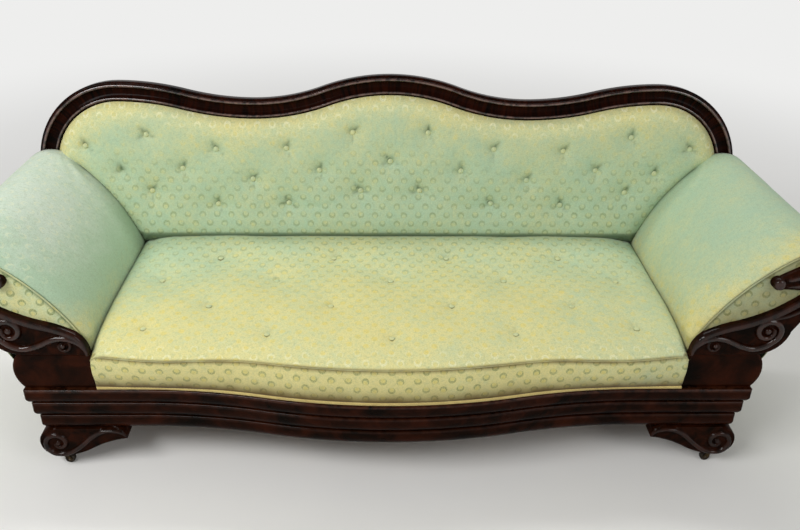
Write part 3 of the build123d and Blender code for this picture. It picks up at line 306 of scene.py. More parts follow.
def flowing(points, count):
    """Smooth line through a few points: at each place, the cubic set by the four points around it."""
    known = np.asarray(points, float)
    known = np.concatenate((2 * known[:1] - known[1:2], known, 2 * known[-1:] - known[-2:-1]))
    place = np.linspace(0, len(points) - 1, count)
    first = np.minimum(place.astype(int), len(points) - 2)
    t = (place - first)[:, None]
    a, b, c, d = (known[first + k] for k in range(4))
    bend, twist = 2 * a - 5 * b + 4 * c - d, 3 * b - a - 3 * c + d
    return 0.5 * (2 * b + (c - a) * t + bend * t ** 2 + twist * t ** 3)


def nearest(points, line, closed=False):
    """Distance from points to a line of short straights, its foot, and the foot's share of the way."""
    start = line if closed else line[:-1]
    step = (np.roll(line, -1, 0) if closed else line[1:]) - start
    across = points[:, None, 0] - start[:, 0]
    up = points[:, None, 1] - start[:, 1]
    t = np.clip((across * step[:, 0] + up * step[:, 1]) / (step ** 2).sum(1), 0, 1)
    gap = np.hypot(across - t * step[:, 0], up - t * step[:, 1])
    best = gap.argmin(1)
    row = np.arange(len(points))
    foot = start[best] + t[row, best][:, None] * step[best]
    return gap[row, best], foot, (best + t[row, best]) / len(start)


def sawn_grid(outline, cell):
    """Square grid inside an outline, its rim drawn onto it: points, faces, rim edges, distance from the rim.

    A point is inside when a line from it to the right crosses the outline an odd number of times.
    """
    low = outline.min(0)
    counts = np.ceil((outline.max(0) - low) / cell).astype(int) + 1
    grid = np.stack(np.meshgrid(*(low[k] + cell * np.arange(counts[k]) for k in (0, 1))), -1).reshape(-1, 2)
    depth, foot, _ = nearest(grid, outline, closed=True)
    after = np.roll(outline, -1, 0)
    spans = (outline[:, 1] > grid[:, None, 1]) != (after[:, 1] > grid[:, None, 1])
    rise = np.where(after[:, 1] == outline[:, 1], 1.0, after[:, 1] - outline[:, 1])
    crossing = outline[:, 0] + (grid[:, None, 1] - outline[:, 1]) * (after[:, 0] - outline[:, 0]) / rise
    inside = (spans & (grid[:, None, 0] < crossing)).sum(1) % 2 == 1
    keep = inside & (depth > 0.4 * cell)
    faces = quads(counts[1], counts[0])
    faces = faces[keep[faces].all(1)]
    used, faces = np.unique(faces, return_inverse=True)
    faces = faces.reshape(-1, 4)
    edges = faces[:, [0, 1, 1, 2, 2, 3, 3, 0]].reshape(-1, 2)
    keys = edges @ (len(used), 1)
    rim = edges[~np.isin(keys, edges[:, ::-1] @ (len(used), 1))]
    points, depth = grid[used], depth[used]
    points[rim] = foot[used][rim]
    depth[rim] = 0.0
    return points, faces, rim, depth


def board(points, faces, rim, front, back):
    """A board closed round its rim: (x, z) points at a front depth each, and the same points at the back."""
    fore = np.stack((points[:, 0], front, points[:, 1]), -1)
    aft = np.stack((points[:, 0], np.broadcast_to(back, len(points)), points[:, 1]), -1)
    count = len(points)
    walls = np.concatenate((rim[:, ::-1], rim + count), 1)
    return np.concatenate((fore, aft)), np.concatenate((faces, faces[:, ::-1] + count, walls))


def bead(points, line, width, rise, taper=0.5):
    """Height of a half-round bead along a line, thinner towards its ends."""
    gap, _, share = nearest(points, line)
    slim = 1 - taper * np.abs(2 * share - 1) ** 3
    return rise * slim * np.sqrt(np.clip(1 - (gap / (width * slim)) ** 2, 0, None))


def eased(depth, radius):
    """Fall of a rounded edge at a distance from the rim: a quarter circle."""
    return radius - np.sqrt(radius ** 2 - np.clip(radius - depth, 0, None) ** 2)


def volute(centre, start_turn, start_r, turns, end_r, count=90):
    """Spiral that winds in to an eye, its radius falling evenly with the angle."""
    share = np.linspace(0, 1, count)
    angle = math.radians(start_turn) + 2 * math.pi * turns * share
    radius = start_r + (end_r - start_r) * share
    return np.asarray(centre) + radius[:, None] * np.stack((np.cos(angle), np.sin(angle)), -1)


foot_outline = joined(
    ((868, FOOT_HIGH), (734, FOOT_HIGH)),
    arc((734, FOOT_HIGH), (701, 126), (686, 94)),
    arc((686, 94), (733.5, 83), (777, 63)),
    arc((777, 63), (820.5, 43), (868, 34)),
    arc((868, 34), (915, 80), (868, FOOT_HIGH)),
)
foot_outline[:, 1] = np.maximum(foot_outline[:, 1], FOOT_LOW)
foot_grid, foot_faces, foot_rim, foot_depth = sawn_grid(foot_outline, CARVING_CELL)
foot_bead = np.concatenate((
    flowing(((686, 99), (697, 112), (714, 119), (734, 121), (757, 114), (780, 98), (803, 76), (828, 56),
             (850, 45)), 90),
    volute(FOOT_VOLUTE, 247, 39.0, 1.25, 9.0),
))
foot_relief = np.maximum(-FOOT_SUNK * (1 - np.exp(-np.clip(foot_depth - 3, 0, None) / 4)),
                         -FOOT_SUNK + bead(foot_grid, foot_bead, 8.2, 11.0, 0.35))
foot_eye = np.hypot(*(foot_grid - FOOT_VOLUTE).T)
foot_relief = np.maximum(foot_relief, -3 + 6 * np.sqrt(np.clip(1 - (foot_eye / 8) ** 2, 0, None)))
foot_cove = 9.0 * np.clip((foot_grid[:, 1] - 121) / 7, 0, 1) ** 2
foot_front = FOOT_FRONT - foot_relief + eased(foot_depth, 4.0) + foot_cove
foot_points, foot_skin = board(foot_grid, foot_faces, foot_rim, foot_front, FOOT_BACK)


def raised(relief):
    """Share of raised work on a board's front, from its relief, and nought on its back."""
    return np.concatenate((np.clip((relief + 1.0) / 4.0, 0, 1), np.zeros(len(relief))))


carved_wood = polished_wood("carved_mahogany", srgb(9, 4, 1), srgb(47, 18, 6), srgb(104, 56, 36),
                            (40, 60, 40), gloss=0.26, shine=0.035)
# Raised work on the feet is painted paler, as rubbed wear and as painted highlight, and keeps some polish.
for side, side_name in SIDES:
    add_piece(side_name + "_foot", foot_points * (side, 1, 1), [(foot_skin, None)], carved_wood,
              [side_name + "_front_foot"],
              {"wear_and_highlight": 0.07 * raised(foot_relief), "polish": 0.22 * raised(foot_relief)}, sharp=55)

# Casters: a brass plate and horn under each foot, a steel pin and a turned wheel, all dull with age.
# The horn swivels on a stud riveted through the plate, which three screws hold to the wood.


def old_metal(name, bright, dull, metallic):
    """Tarnished metal: bright where it is rubbed, dull in patches."""
    material, shader, place = finish(name, Metallic=metallic)
    patch = place.noise(160.0, 4.0).ramp(0.36, 0.66)
    patch.mix(bright, dull).feeds(shader, "Base Color")
    (0.34 + 0.3 * patch).feeds(shader, "Roughness")
    place.noise(700.0).raises(shader, 0.1, 0.0003)
    return material


def dress(nodes, material):
    """Gives nodes of the frame a material."""
    for name in nodes:
        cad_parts[name].data.materials.clear()
        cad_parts[name].data.materials.append(material)


caster_brass = old_metal("caster_brass", srgb(78, 61, 36), srgb(30, 24, 17), 0.9)
steel = old_metal("dark_steel", srgb(126, 122, 116), srgb(58, 50, 44), 1.0)
wheel_metal = old_metal("caster_wheel", srgb(58, 50, 40), srgb(24, 20, 17), 0.7)
corners = [end + "_" + hand for end in ("front", "back") for hand in ("left", "right")]
dress(["caster_plates"] + [corner + "_caster_horn" for corner in corners], caster_brass)
dress(["caster_screws", "seat_springs"] + [corner + "_caster_axle" for corner in corners], steel)
dress([corner + "_caster_wheel" for corner in corners], wheel_metal)

# Frame: beech blocks and posts, tenoned and glued, all under the covers.
# The end and back rails and the square back legs show below them, and are stained to match the front,
# as are the front rail's core and the round rails that the arms are stuffed over.


def raw_wood(name, pale, dark):
    """Bare beech: fine streaks along the rails and the grey-brown of old dust."""
    material, shader, place = finish(name, Specular_IOR_Level=0.2)
    streaks = place.stretched(6, 60, 60).noise(1.0, 5.0, 0.3)
    dust = place.noise(9.0, 4.0).ramp(0.4, 0.7)
    (0.35 * dust + 0.6 * streaks).mix(pale, dark).feeds(shader, "Base Color")
    (0.72 + 0.2 * streaks).feeds(shader, "Roughness")
    streaks.raises(shader, 0.2, 0.0008)
    return material


beech = raw_wood("frame_beech", srgb(176, 140, 98), srgb(104, 76, 50))
dress(["corner_blocks", "back_tacking_rail", "back_uprights", "arm_lower_rails"], beech)
stained_wood = polished_wood("stained_rails", srgb(10, 5, 3), srgb(44, 19, 9), srgb(84, 52, 36), (14, 90, 16),
                             gloss=0.6, shine=0.03)
dress(["front_rail_core", "right_end_rail", "left_end_rail", "back_rail", "right_back_leg", "left_back_leg",
       "arm_rails"], stained_wood)

# Webbing and hessian: jute strips are laced and tacked across the seat and back frames.
# The seat's springs stand on them, and sacking is stretched over the springs and over the back's strips.


def coarse_cloth(name, pale, dark, pitch):
    """Plain jute weave: ripples of thread along all three axes, so that every face has two, and slubs."""
    material, shader, place = finish(name, Specular_IOR_Level=0.1)
    across, along, up = (place.maths("SINE", place.part(k) * (2 * math.pi / pitch)) for k in range(3))
    weave = 0.5 + 0.17 * (across + along + up)
    slubs = place.stretched(40, 40, 160).noise(1.0, 4.0)
    (0.5 * weave + 0.6 * slubs - 0.05).mix(dark, pale).feeds(shader, "Base Color")
    (0.85 + 0.1 * slubs).feeds(shader, "Roughness")
    weave.raises(shader, 0.4, 0.0008)
    return material


sacking = coarse_cloth("hessian", srgb(172, 142, 98), srgb(98, 74, 46), 0.003)
dress(["seat_hessian", "back_hessian"], sacking)
jute_web = coarse_cloth("jute_web", srgb(150, 120, 82), srgb(82, 60, 38), 0.0045)
dress(["seat_webbing", "back_webbing"], jute_web)

# Seat: a sprung and stuffed pad under silk damask, boxed in front, crowned, and drawn down by buttons.
# The cover is sewn to a welt along the front edge and held by twine through each button.
SEAT_HALF = 738.0
SEAT_SIDE = 737.5
SEAT_FRONT = 6.6
SEAT_BACK = 546.0
SEAT_FOOT = 262.2
SEAT_EDGE = 364.0
SEAT_CROWN = 38.0
SEAT_ROLL = 11.0         # how far the crown rolls down at the sides and back
SEAT_FULLER = 27.0       # how much higher the crown is at the back
SEAT_FLANK = 570.0       # middle of the swell over each of the rail's hollow flanks
FLANK_SWELL = 28.0
FLANK_REACH = 150.0
BACK_MEETS = 533.5       # where the inside back bears on the seat
BUTTON_R = 8.0
BUTTON_SIDES = 14
FIGURE_PITCH = 0.042     # crescent to crescent along a row, in metres as the cloth's map has them
FIGURE_ROW = 0.026


def silk_damask(name):
    """Faded green damask: rows of crescents, every other row moved half a pitch, each with a gold eye.

    Crescents along a row stand up and hang down by turns. A crescent is what one circle leaves of
    another. Painted fields turn the ground from green to straw above nought, and paler and cooler below it,
    as painted light; darken it with soil and painted shade, and with painted shade in creases and folds;
    and set how strongly, and whether darker or paler than the ground, the figure shows, the paler being
    painted sheen.
    """
    material, shader, place = finish(name, Specular_IOR_Level=0.18, Sheen_Weight=0.12, Sheen_Roughness=0.4)
    cloth = place.node("UVMap", {}, uv_map="weave")
    wander = cloth.noise(30.0, 1.0)
    u = (cloth.part(0) + 0.003 * wander) / FIGURE_PITCH
    v = (cloth.part(1) + 0.003 * cloth.noise(26.0, 1.0)) / FIGURE_ROW
    row = place.maths("FLOOR", v)
    u = u + 0.5 * (row % 2.0)
    column = place.maths("FLOOR", u)
    hang = 2.0 * ((column + row) % 2.0) - 1.0
    x = (u - column - 0.5) * FIGURE_PITCH
    y = (v - row - 0.5) * FIGURE_ROW * hang
    outer = (x * x + y * y) ** 0.5
    inner = (x * x + (y - 0.0032) ** 2.0) ** 0.5
    broken = 0.35 + 0.65 * cloth.noise(420.0, 2.0).ramp(0.35, 0.65)
    crescent = (1.0 - outer.ramp(0.0086, 0.0104)) * inner.ramp(0.0054, 0.0070) * broken
    show = field(place, "figure")
    darker, painted_sheen = show.ramp(0.0, 1.0), (0.0 - show).ramp(0.0, 1.0)
    eye = (1.0 - (inner * (0.65 + 0.35 * (darker + painted_sheen))).ramp(0.0036, 0.0066)) * broken
    rubbed_and_sheen = 0.45 + cloth.noise(16.0, 3.0)
    darker, painted_sheen = darker * rubbed_and_sheen, painted_sheen * rubbed_and_sheen
    straw_and_painted_light = field(place, "straw_and_painted_light") + 0.5 * (place.noise(5.0, 3.0) - 0.5) + 0.5 * (place.noise(24.0, 4.0) - 0.5)
    straw_and_painted_light = straw_and_painted_light + 0.45 * (place.noise(95.0, 2.0) - 0.5)
    ground = straw_and_painted_light.ramp(0.0, 1.0).mix(srgb(176, 203, 174), srgb(226, 216, 148))
    ground = straw_and_painted_light.ramp(1.15, 2.0).mix(ground, srgb(216, 178, 74))
    # Painted light: where the straw field falls below nought the ground turns paler and cooler.
    ground = straw_and_painted_light.ramp(-1.0, 0.0).mix(srgb(212, 224, 208), ground)
    ground = (crescent * darker).mix(ground, srgb(122, 136, 78))
    # Painted sheen: paler crescents where the figure field is below nought.
    ground = (crescent * painted_sheen).mix(ground, srgb(238, 236, 196))
    gilt = 0.65 * rubbed_and_sheen * straw_and_painted_light.ramp(0.2, 0.9) + 0.5 * darker - 0.3 * painted_sheen
    ground = (eye * gilt).mix(ground, darker.mix(srgb(230, 208, 88), srgb(216, 206, 122)))
    ground = (0.22 * place.noise(120.0, 2.0).ramp(0.48, 0.72)).mix(ground, srgb(150, 168, 130))
    mottle = cloth.stretched(260, 400, 1).noise(1.0, 4.0)
    ground = (0.34 * mottle.ramp(0.42, 0.78)).mix(ground, srgb(138, 152, 112))
    ground = (0.28 * (1.0 - mottle).ramp(0.5, 0.8)).mix(ground, srgb(228, 230, 190))
    # Painted shade: dark green in creases, round buttons and along edges.
    ground = field(place, "painted_shade").ramp(0.0, 1.0).mix(ground, srgb(66, 88, 58))
    # Brown soil, and painted shade on cords, button feet and the arm wedges.
    soil_and_shade = field(place, "soil_and_shade") * (0.6 + 0.8 * place.noise(16.0, 4.0))
    soil_and_shade.ramp(0.0, 1.0).mix(ground, srgb(96, 78, 42)).feeds(shader, "Base Color")
    (0.62 + 0.2 * mottle).feeds(shader, "Roughness")
    ribs = place.maths("SINE", cloth.part(1) * (2 * math.pi / 0.0016))
    (0.3 * ribs + 0.5 * mottle + 0.25 * crescent).raises(shader, 0.16, 0.0008)
    return material


def smooth(share):
    """Smooth step from nought to one, level at both ends."""
    return share ** 2 * (3 - 2 * share)


def waves(x, y, length, seed):
    """Slow unevenness of old stuffing: four sine waves of about one length, in fixed odd directions."""
    turns = seed + 2.4 * np.arange(4)
    reach = 2 * math.pi / (length * np.array((1.0, 1.31, 0.77, 1.6)))
    phase = np.outer(np.ravel(x), np.cos(turns) * reach) + np.outer(np.ravel(y), np.sin(turns) * reach)
    phase = phase + 3 * turns
    return (np.sin(phase) @ np.array((0.4, 0.25, 0.2, 0.15))).reshape(np.shape(x))


def tufts(x, y, buttons, depth, width, pleats):
    """Fall of the cover round buttons: a steep hollow at each, and short pleats that fan from it.

    The hollow dies away as an exponential of the distance; a pleat is a narrow lobe of the angle. Also given
    are the distance to the nearest button, and the painted shade, deepest above it and in its pleats.
    """
    across = np.subtract.outer(np.ravel(x), buttons[:, 0])
    up = np.subtract.outer(np.ravel(y), buttons[:, 1])
    gap = np.hypot(across, up)
    angle = np.arctan2(up, across)
    lean = 1.7 * np.sin(7.3 * np.arange(len(buttons)))
    lobes = np.clip(np.cos(2.5 * (angle - math.pi / 2) + lean), 0, None) ** 6
    fall = depth * np.exp(-gap / width) + pleats * lobes * np.exp(-((gap - 16) / 20) ** 2)
    # painted shade above each button and in its pleats
    shade_above = np.exp(-(gap / 15) ** 1.5) * (0.5 + 0.5 * np.sin(angle))
    painted_shade = shade_above + 0.5 * lobes * np.exp(-((gap - 18) / 12) ** 2)
    shape = np.shape(x)
    return fall.max(1).reshape(shape), gap.min(1).reshape(shape), painted_shade.max(1).reshape(shape)


def seat_button_places():
    """Four rows across the seat, each a depth, a count, a pitch and a bow that follows the rail's."""
    rows = ((87.0, 5, 312.9, 43.0), (184.0, 4, 318.1, 0.0), (315.0, 5, 312.9, 0.0), (425.0, 4, 321.8, 0.0))
    places = []
    for depth, count, pitch, bowed in rows:
        x = (np.arange(count) - (count - 1) / 2) * pitch
        places.append(np.stack((x, depth + bowed * bow(x, 0.0) / RAIL_BOW), -1))
    return np.concatenate(places)


def seat_rise(x, y):
    """Crown above the seat's edge: slow from the front, fuller at the back, rolled over at sides and back."""
    fore = 1 - np.exp(-np.clip(y - seat_front(x), 0, None) / 72)
    fuller_from = 330.0
    back = np.clip((y - fuller_from) / (SEAT_BACK - fuller_from), 0, 1)
    inwards = np.clip(seat_side(y) - np.abs(x), 0, None)
    aside = SEAT_ROLL * np.exp(-inwards / 7)
    behind = SEAT_ROLL * np.exp(-np.clip(SEAT_BACK - y, 0, None) / 8)
    fuller = SEAT_FULLER * smooth(back) * (1 - np.exp(-inwards / 55))
    return SEAT_CROWN * np.minimum(fore / 0.95, 1.0) + fuller - np.maximum(aside, behind)


def seat_front(x):
    """Plan line of the front seam: the rail's bow, but swelled over the hollow flanks."""
    return bow(x, SEAT_FRONT) - FLANK_SWELL * np.exp(-((np.abs(x) - SEAT_FLANK) / FLANK_REACH) ** 2)


def seat_side(y):
    """Half width of the seat, a little less towards the back."""
    return SEAT_SIDE - 9.0 * np.clip(y / SEAT_BACK, 0, 1)


def inflate(piece, held, pressure, most, frames=20):
    """Lets the cover settle over its stuffing: pressed out from inside, held where it is sewn or tied.

    No point moves further than most (mm) from where it was.
    """
    mesh = piece.data
    count = len(mesh.vertices)
    before = np.empty(count * 3)
    mesh.vertices.foreach_get("co", before)
    pins = piece.vertex_groups.new(name="sewn")
    for weight in (0.35, 0.7, 1.0):
        pins.add(np.flatnonzero(held >= weight).tolist(), weight, "REPLACE")
    cloth = piece.modifiers.new("settle", "CLOTH")
    settings = cloth.settings
    settings.quality = 4
    settings.mass = 0.3
    settings.tension_stiffness = 12
    settings.compression_stiffness = 6
    settings.shear_stiffness = 4
    settings.bending_stiffness = 0.4
    settings.use_pressure = True
    settings.uniform_pressure_force = pressure
    settings.vertex_group_mass = "sewn"
    settings.pin_stiffness = 3.0
    settings.effector_weights.gravity = 0.0
    cloth.collision_settings.use_collision = False
    scene = bpy.context.scene
    for step in range(1, frames + 1):
        scene.frame_set(step)
    settled = piece.evaluated_get(bpy.context.evaluated_depsgraph_get()).to_mesh()
    after = np.empty(count * 3)
    settled.vertices.foreach_get("co", after)
    piece.modifiers.remove(cloth)
    piece.vertex_groups.remove(pins)
    move = (after - before).reshape(-1, 3)
    reach = np.linalg.norm(move, axis=1, keepdims=True)
    move *= np.minimum(1.0, most * MM / np.maximum(reach, 1e-9))
    mesh.vertices.foreach_set("co", (before.reshape(-1, 3) + move).ravel())
    mesh.update()
    scene.frame_set(1)


damask = silk_damask("green_damask")
seat_columns, seat_rows, boxing_levels = 185, 71, 8
seat_a, seat_b = np.meshgrid(np.linspace(-1, 1, seat_columns), np.linspace(0, 1, seat_rows))
seat_y = seat_front(SEAT_SIDE * seat_a) * (1 - seat_b) + SEAT_BACK * seat_b
seat_x = seat_side(seat_y) * seat_a
seat_buttons = seat_button_places()
seat_fall, seat_gap, seat_tuft_shade = tufts(seat_x, seat_y, seat_buttons, depth=12.0, width=18.0, pleats=2.0)
seat_z = SEAT_EDGE + seat_rise(seat_x, seat_y) - seat_fall + 1.5 * waves(seat_x, seat_y, 170, 0.7) * seat_b
seat_grid = np.arange(seat_rows * seat_columns).reshape(seat_rows, seat_columns)
seat_rim = np.concatenate((seat_grid[0, :-1], seat_grid[:-1, -1], seat_grid[-1, :0:-1], seat_grid[:0:-1, 0]))
seat_top = np.stack((seat_x, seat_y, seat_z), -1).reshape(-1, 3)
rim_top = seat_top[seat_rim]
rim_x, rim_y = rim_top[:, 0], rim_top[:, 1]
aside = np.where(np.abs(rim_x) > seat_side(rim_y) - 1, np.sign(rim_x), 0)
abaft = np.where(rim_y > SEAT_BACK - 1, 1.0, np.where(rim_y < seat_front(rim_x) + 1, -1.0, 0.0))
outwards = np.stack((aside, abaft, np.zeros(len(rim_top))), -1)
overhang = np.where(abaft < 0, np.maximum(bow(rim_x, SEAT_FRONT) - rim_y, 0), 0)
boxing = []
for level in range(1, boxing_levels):
    share = level / boxing_levels
    swell = (3.0 + 1.4 * waves(rim_x, 60 * share + rim_y, 240, 2.0)) * math.sin(math.pi * share)
    ring = rim_top + outwards * (swell - overhang * share ** 1.7)[:, None]
    ring[:, 2] = rim_top[:, 2] * (1 - share) + SEAT_FOOT * share
    boxing.append(ring)
seat_under = seat_top * (1, 1, 0) + (0, 0, SEAT_FOOT)
seat_under[:, 1] += (overhang[:seat_columns] * (1 - seat_b)).ravel()
seat_points = np.concatenate([seat_top] + boxing + [seat_under])
levels = [seat_rim]
levels += [seat_grid.size + k * len(seat_rim) + np.arange(len(seat_rim)) for k in range(boxing_levels - 1)]
levels += [seat_grid.size + (boxing_levels - 1) * len(seat_rim) + seat_rim]
levels = np.array(levels).T
boxing_faces = levels.ravel()[quads(len(seat_rim) + 1, boxing_levels + 1) % levels.size]
top_faces = quads(seat_rows, seat_columns)
under_faces = top_faces[:, ::-1] + seat_points.shape[0] - seat_grid.size
across, along, height = seat_points.T
on_boxing = (height < SEAT_EDGE + 1) & (along < bow(across, SEAT_FRONT) + 8.0)
boxing_share = np.clip((SEAT_EDGE - height) / (SEAT_EDGE - SEAT_FOOT), 0, 1)
crease = np.minimum(seat_side(along) - np.abs(across), BACK_MEETS - along)
front_left = np.clip(-across / 300 - 1, 0, 1) * np.clip(1.8 - along / 120, 0, 1)
to_back = np.clip(along / SEAT_BACK - 0.35, 0, 1)
to_side = (np.abs(across) / SEAT_SIDE) ** 3
seat_straw = 0.72 + 0.15 * on_boxing + 0.25 * front_left - 0.5 * to_back - 0.3 * to_side
# Boxing: soiled, darker towards the foot, painted shade under the welt; top: painted shade in creases.
boxing_soil_and_shade = 0.14 + 0.95 * boxing_share ** 4 + 0.12 * boxing_share + 0.6 * np.exp(-45 * boxing_share)
seat_soil_and_shade = np.where(on_boxing, boxing_soil_and_shade, 0.02)
seat_shade = np.where(on_boxing, 0.0, 0.7 * np.exp(-np.clip(crease, 0, None) / 4))
seat_shade[:seat_grid.size] += 0.35 * seat_tuft_shade.ravel()
gap_all = np.full(len(seat_points), 999.0)
gap_all[:seat_grid.size] = seat_gap.ravel()
# darker round each button
seat_soil_and_shade = seat_soil_and_shade + 0.12 * np.exp(-gap_all / 10)
seat_fore = along - seat_front(across)
# The figure shows paler near the seat's front edge, as painted sheen, and stronger towards the back.
top_figure_and_sheen = 0.24 + 0.5 * np.clip(seat_fore / SEAT_BACK - 0.35, 0, 1) - 1.1 * np.exp(-seat_fore / 75)
seat_figure_and_sheen = np.where(on_boxing, 0.75, top_figure_and_sheen)
seat = add_piece("seat", seat_points, [
    (top_faces, seat_points[:, :2]), (boxing_faces, seat_points[:, [0, 2]] - (0, 10)), (under_faces, None),
], damask, ["seat_pad"],
    {"straw_and_painted_light": seat_straw, "soil_and_shade": seat_soil_and_shade, "painted_shade": seat_shade, "figure": seat_figure_and_sheen})
seat_held = np.where(np.arange(len(seat_points)) < seat_grid.size, np.where(gap_all < 12, 1.0, 0.0), 1.0)
seat_held[seat_rim] = 1.0
inflate(seat, seat_held, pressure=4.0, most=12.0)

CORD_SIDES = 10
UNFIGURED_UNSHADED = {"painted_shade": 0.0, "figure": 0.0}


def run_along(line):
    """Distance along a line of points from its first."""
    return np.concatenate(((0,), np.linalg.norm(np.diff(line, axis=0), axis=1).cumsum()))


def tube(line, radius, across):
    """A round cord along a line: at each place a circle square to the line, its ends closed.

    The circle's first axis is the given direction, made square to the line's own.
    """
    ahead = np.gradient(line, axis=0)
    ahead /= np.linalg.norm(ahead, axis=1, keepdims=True)
    first = np.asarray(across, float) - (ahead @ np.asarray(across, float))[:, None] * ahead
    first /= np.linalg.norm(first, axis=1, keepdims=True)
    second = np.cross(ahead, first)
    sides = np.arange(CORD_SIDES)
    turn = 2 * math.pi * sides / CORD_SIDES
    ring = np.cos(turn)[:, None] * first[:, None] + np.sin(turn)[:, None] * second[:, None]
    points = (line[:, None] + radius * ring).reshape(-1, 3)
    caps = sides + np.array([[0], [(len(line) - 1) * CORD_SIDES]])
    caps[1] = caps[1][::-1]
    weave = np.stack((np.repeat(run_along(line), CORD_SIDES), np.tile(radius * turn, len(line))), -1)
    return points, [(quads(len(line), CORD_SIDES, wrap=True), weave), (caps, weave)]


welt_x = np.linspace(-SEAT_SIDE, SEAT_SIDE, 260)
welt_z = SEAT_EDGE + 0.6 - SEAT_ROLL * np.exp((np.abs(welt_x) - SEAT_SIDE) / 9)
welt_line = np.stack((welt_x, seat_front(welt_x) - 0.4, welt_z), -1)
welt_points, welt_skins = tube(welt_line, 1.5, (0, 0, 1))
# Painted shade: the cord is darkened all round, and fully on part of its girth.
welt_shade = np.where(np.arange(len(welt_points)) % CORD_SIDES > 5, 1.0, 0.5)
add_piece("seat_piping", welt_points, welt_skins, damask, ["seat_welt"],
          {"straw_and_painted_light": 0.7, "soil_and_shade": welt_shade} | UNFIGURED_UNSHADED)


def domes(places, facing, radius, rise):
    """Covered buttons: at each place a dome that rises as the square root of what is left to its rim."""
    sides = np.arange(BUTTON_SIDES)
    rings = np.array((1.0, 1.02, 0.94, 0.8, 0.6, 0.36, 0.02))
    ring, turn = np.meshgrid(rings, sides * 2 * math.pi / BUTTON_SIDES, indexing="ij")
    height = np.array((-1.6, 0.0, 0.42, 0.66, 0.86, 0.96, 1.0))[:, None] * rise + 0 * ring
    facing = np.asarray(facing, float)
    first = np.cross(facing, (0, 1, 0) if abs(facing[1]) < 0.9 else (1, 0, 0))
    first /= np.linalg.norm(first)
    second = np.cross(facing, first)
    dome = radius * ring[..., None] * (np.cos(turn)[..., None] * first + np.sin(turn)[..., None] * second)
    dome = (dome + height[..., None] * facing).reshape(-1, 3)
    points = (places[:, None] + dome).reshape(-1, 3)
    start = len(dome) * np.arange(len(places))[:, None, None]
    faces = (quads(*ring.shape, wrap=True) + start).reshape(-1, 4)
    ends = np.stack((sides[::-1], sides + (len(rings) - 1) * BUTTON_SIDES)) + start
    round_face = radius * ring[..., None] * np.stack((np.cos(turn), np.sin(turn)), -1)
    spread = np.tile(round_face.reshape(-1, 2), (len(places), 1))
    return points, [(faces, spread), (ends.reshape(-1, BUTTON_SIDES), spread)]


seat_ties = np.column_stack((seat_buttons, SEAT_EDGE + seat_rise(*seat_buttons.T) - 10.0))
button_points, button_skins = domes(seat_ties + (0, 0, 2.2), (0, 0, 1), BUTTON_R, rise=3.4)
# Painted shade round each button's foot, fading up its dome.
BUTTON_FOOT_SHADE = np.repeat((0.8, 0.6, 0.25, 0.06, 0.0, 0.0, 0.0), BUTTON_SIDES)
add_piece("seat_button_row", button_points, button_skins, damask, ["seat_buttons"],
          {"straw_and_painted_light": 0.5, "soil_and_shade": np.tile(BUTTON_FOOT_SHADE, len(seat_ties))} | UNFIGURED_UNSHADED)

# Gimp: a narrow gold braid glued over the tacks along the foot of the boxing.
# Two cords wind past each other, so its face swells and sinks along its length.
GIMP_MIDDLE = 264.6
GIMP_HALF = 4.3
GIMP_TWIST = 7.5         # length of one wind of the cords
gimp_steps, gimp_girth = 980, 9

gimp_run, gimp_up = np.meshgrid(np.linspace(-SEAT_SIDE, SEAT_SIDE, gimp_steps),
                                np.linspace(-1, 1, gimp_girth - 2), indexing="ij")
gimp_swell = 0.9 + 0.7 * np.cos(2 * math.pi * gimp_run / GIMP_TWIST + 1.6 * gimp_up) * np.cos(1.2 * gimp_up)
gimp_front = bow(gimp_run, 5.0) - gimp_swell * np.sqrt(np.clip(1 - 0.9 * gimp_up ** 2, 0, None))
gimp_z = GIMP_MIDDLE + GIMP_HALF * gimp_up
gimp_face = np.stack((gimp_run, gimp_front, gimp_z), -1)
gimp_edges = gimp_run[:, [-1, 0]]
gimp_back = np.stack((gimp_edges, bow(gimp_edges, 6.0), gimp_z[:, [-1, 0]]), -1)
gimp_points = np.concatenate((gimp_face, gimp_back), 1)
gimp_caps = np.arange(gimp_girth) + np.array([[0], [(gimp_steps - 1) * gimp_girth]])
gimp_caps[0] = gimp_caps[0][::-1]


def gold_braid(name):
    """Faded gold silk braid: fine slanting threads, with painted shade in the hollows between them."""
    material, shader, place = finish(name, Specular_IOR_Level=0.3, Sheen_Weight=0.2)
    threads = place.maths("SINE", (place.part(0) + 0.8 * place.part(2)) * (2 * math.pi / 0.0012))
    age = place.noise(40.0, 4.0)
    # painted shade: the gold darkens in the hollows between the threads
    gold = (0.3 + 0.25 * threads + 0.5 * age).mix(srgb(148, 122, 64), srgb(232, 212, 138))
    gold.feeds(shader, "Base Color")
    (0.5 + 0.3 * age).feeds(shader, "Roughness")
    threads.raises(shader, 0.3, 0.0004)
    return material


add_piece("seat_braid", gimp_points.reshape(-1, 3), [
    (quads(gimp_steps, gimp_girth, wrap=True), None), (gimp_caps, None),
], gold_braid("gold_braid"), ["seat_gimp"])

# Arm stumps and facings: a veneered panel stands on the rail at each end, and a carved board sweeps out
# over it from the seat, winds into a volute and hooks over as a curled leaf in front of the roll.
STUMP_LOW = 260.2
STUMP_TOP = 363.0
STUMP_IN = 739.5
STUMP_OUT = 917.5
STUMP_BULGE = 20.0
STUMP_FRONT = 12.0
STUMP_BACK = 30.0
FACING_FRONT = 1.0
FACING_BACK = 20.0
HOOK = (272.0, 207.0)    # the facing is drawn from the inner foot of its board
HOOK_R = 60.0
VOLUTE = (184, 72)
CURL = (60, 29)
FACING_SUNK = 7.0        # how far the board's ground is cut below its border

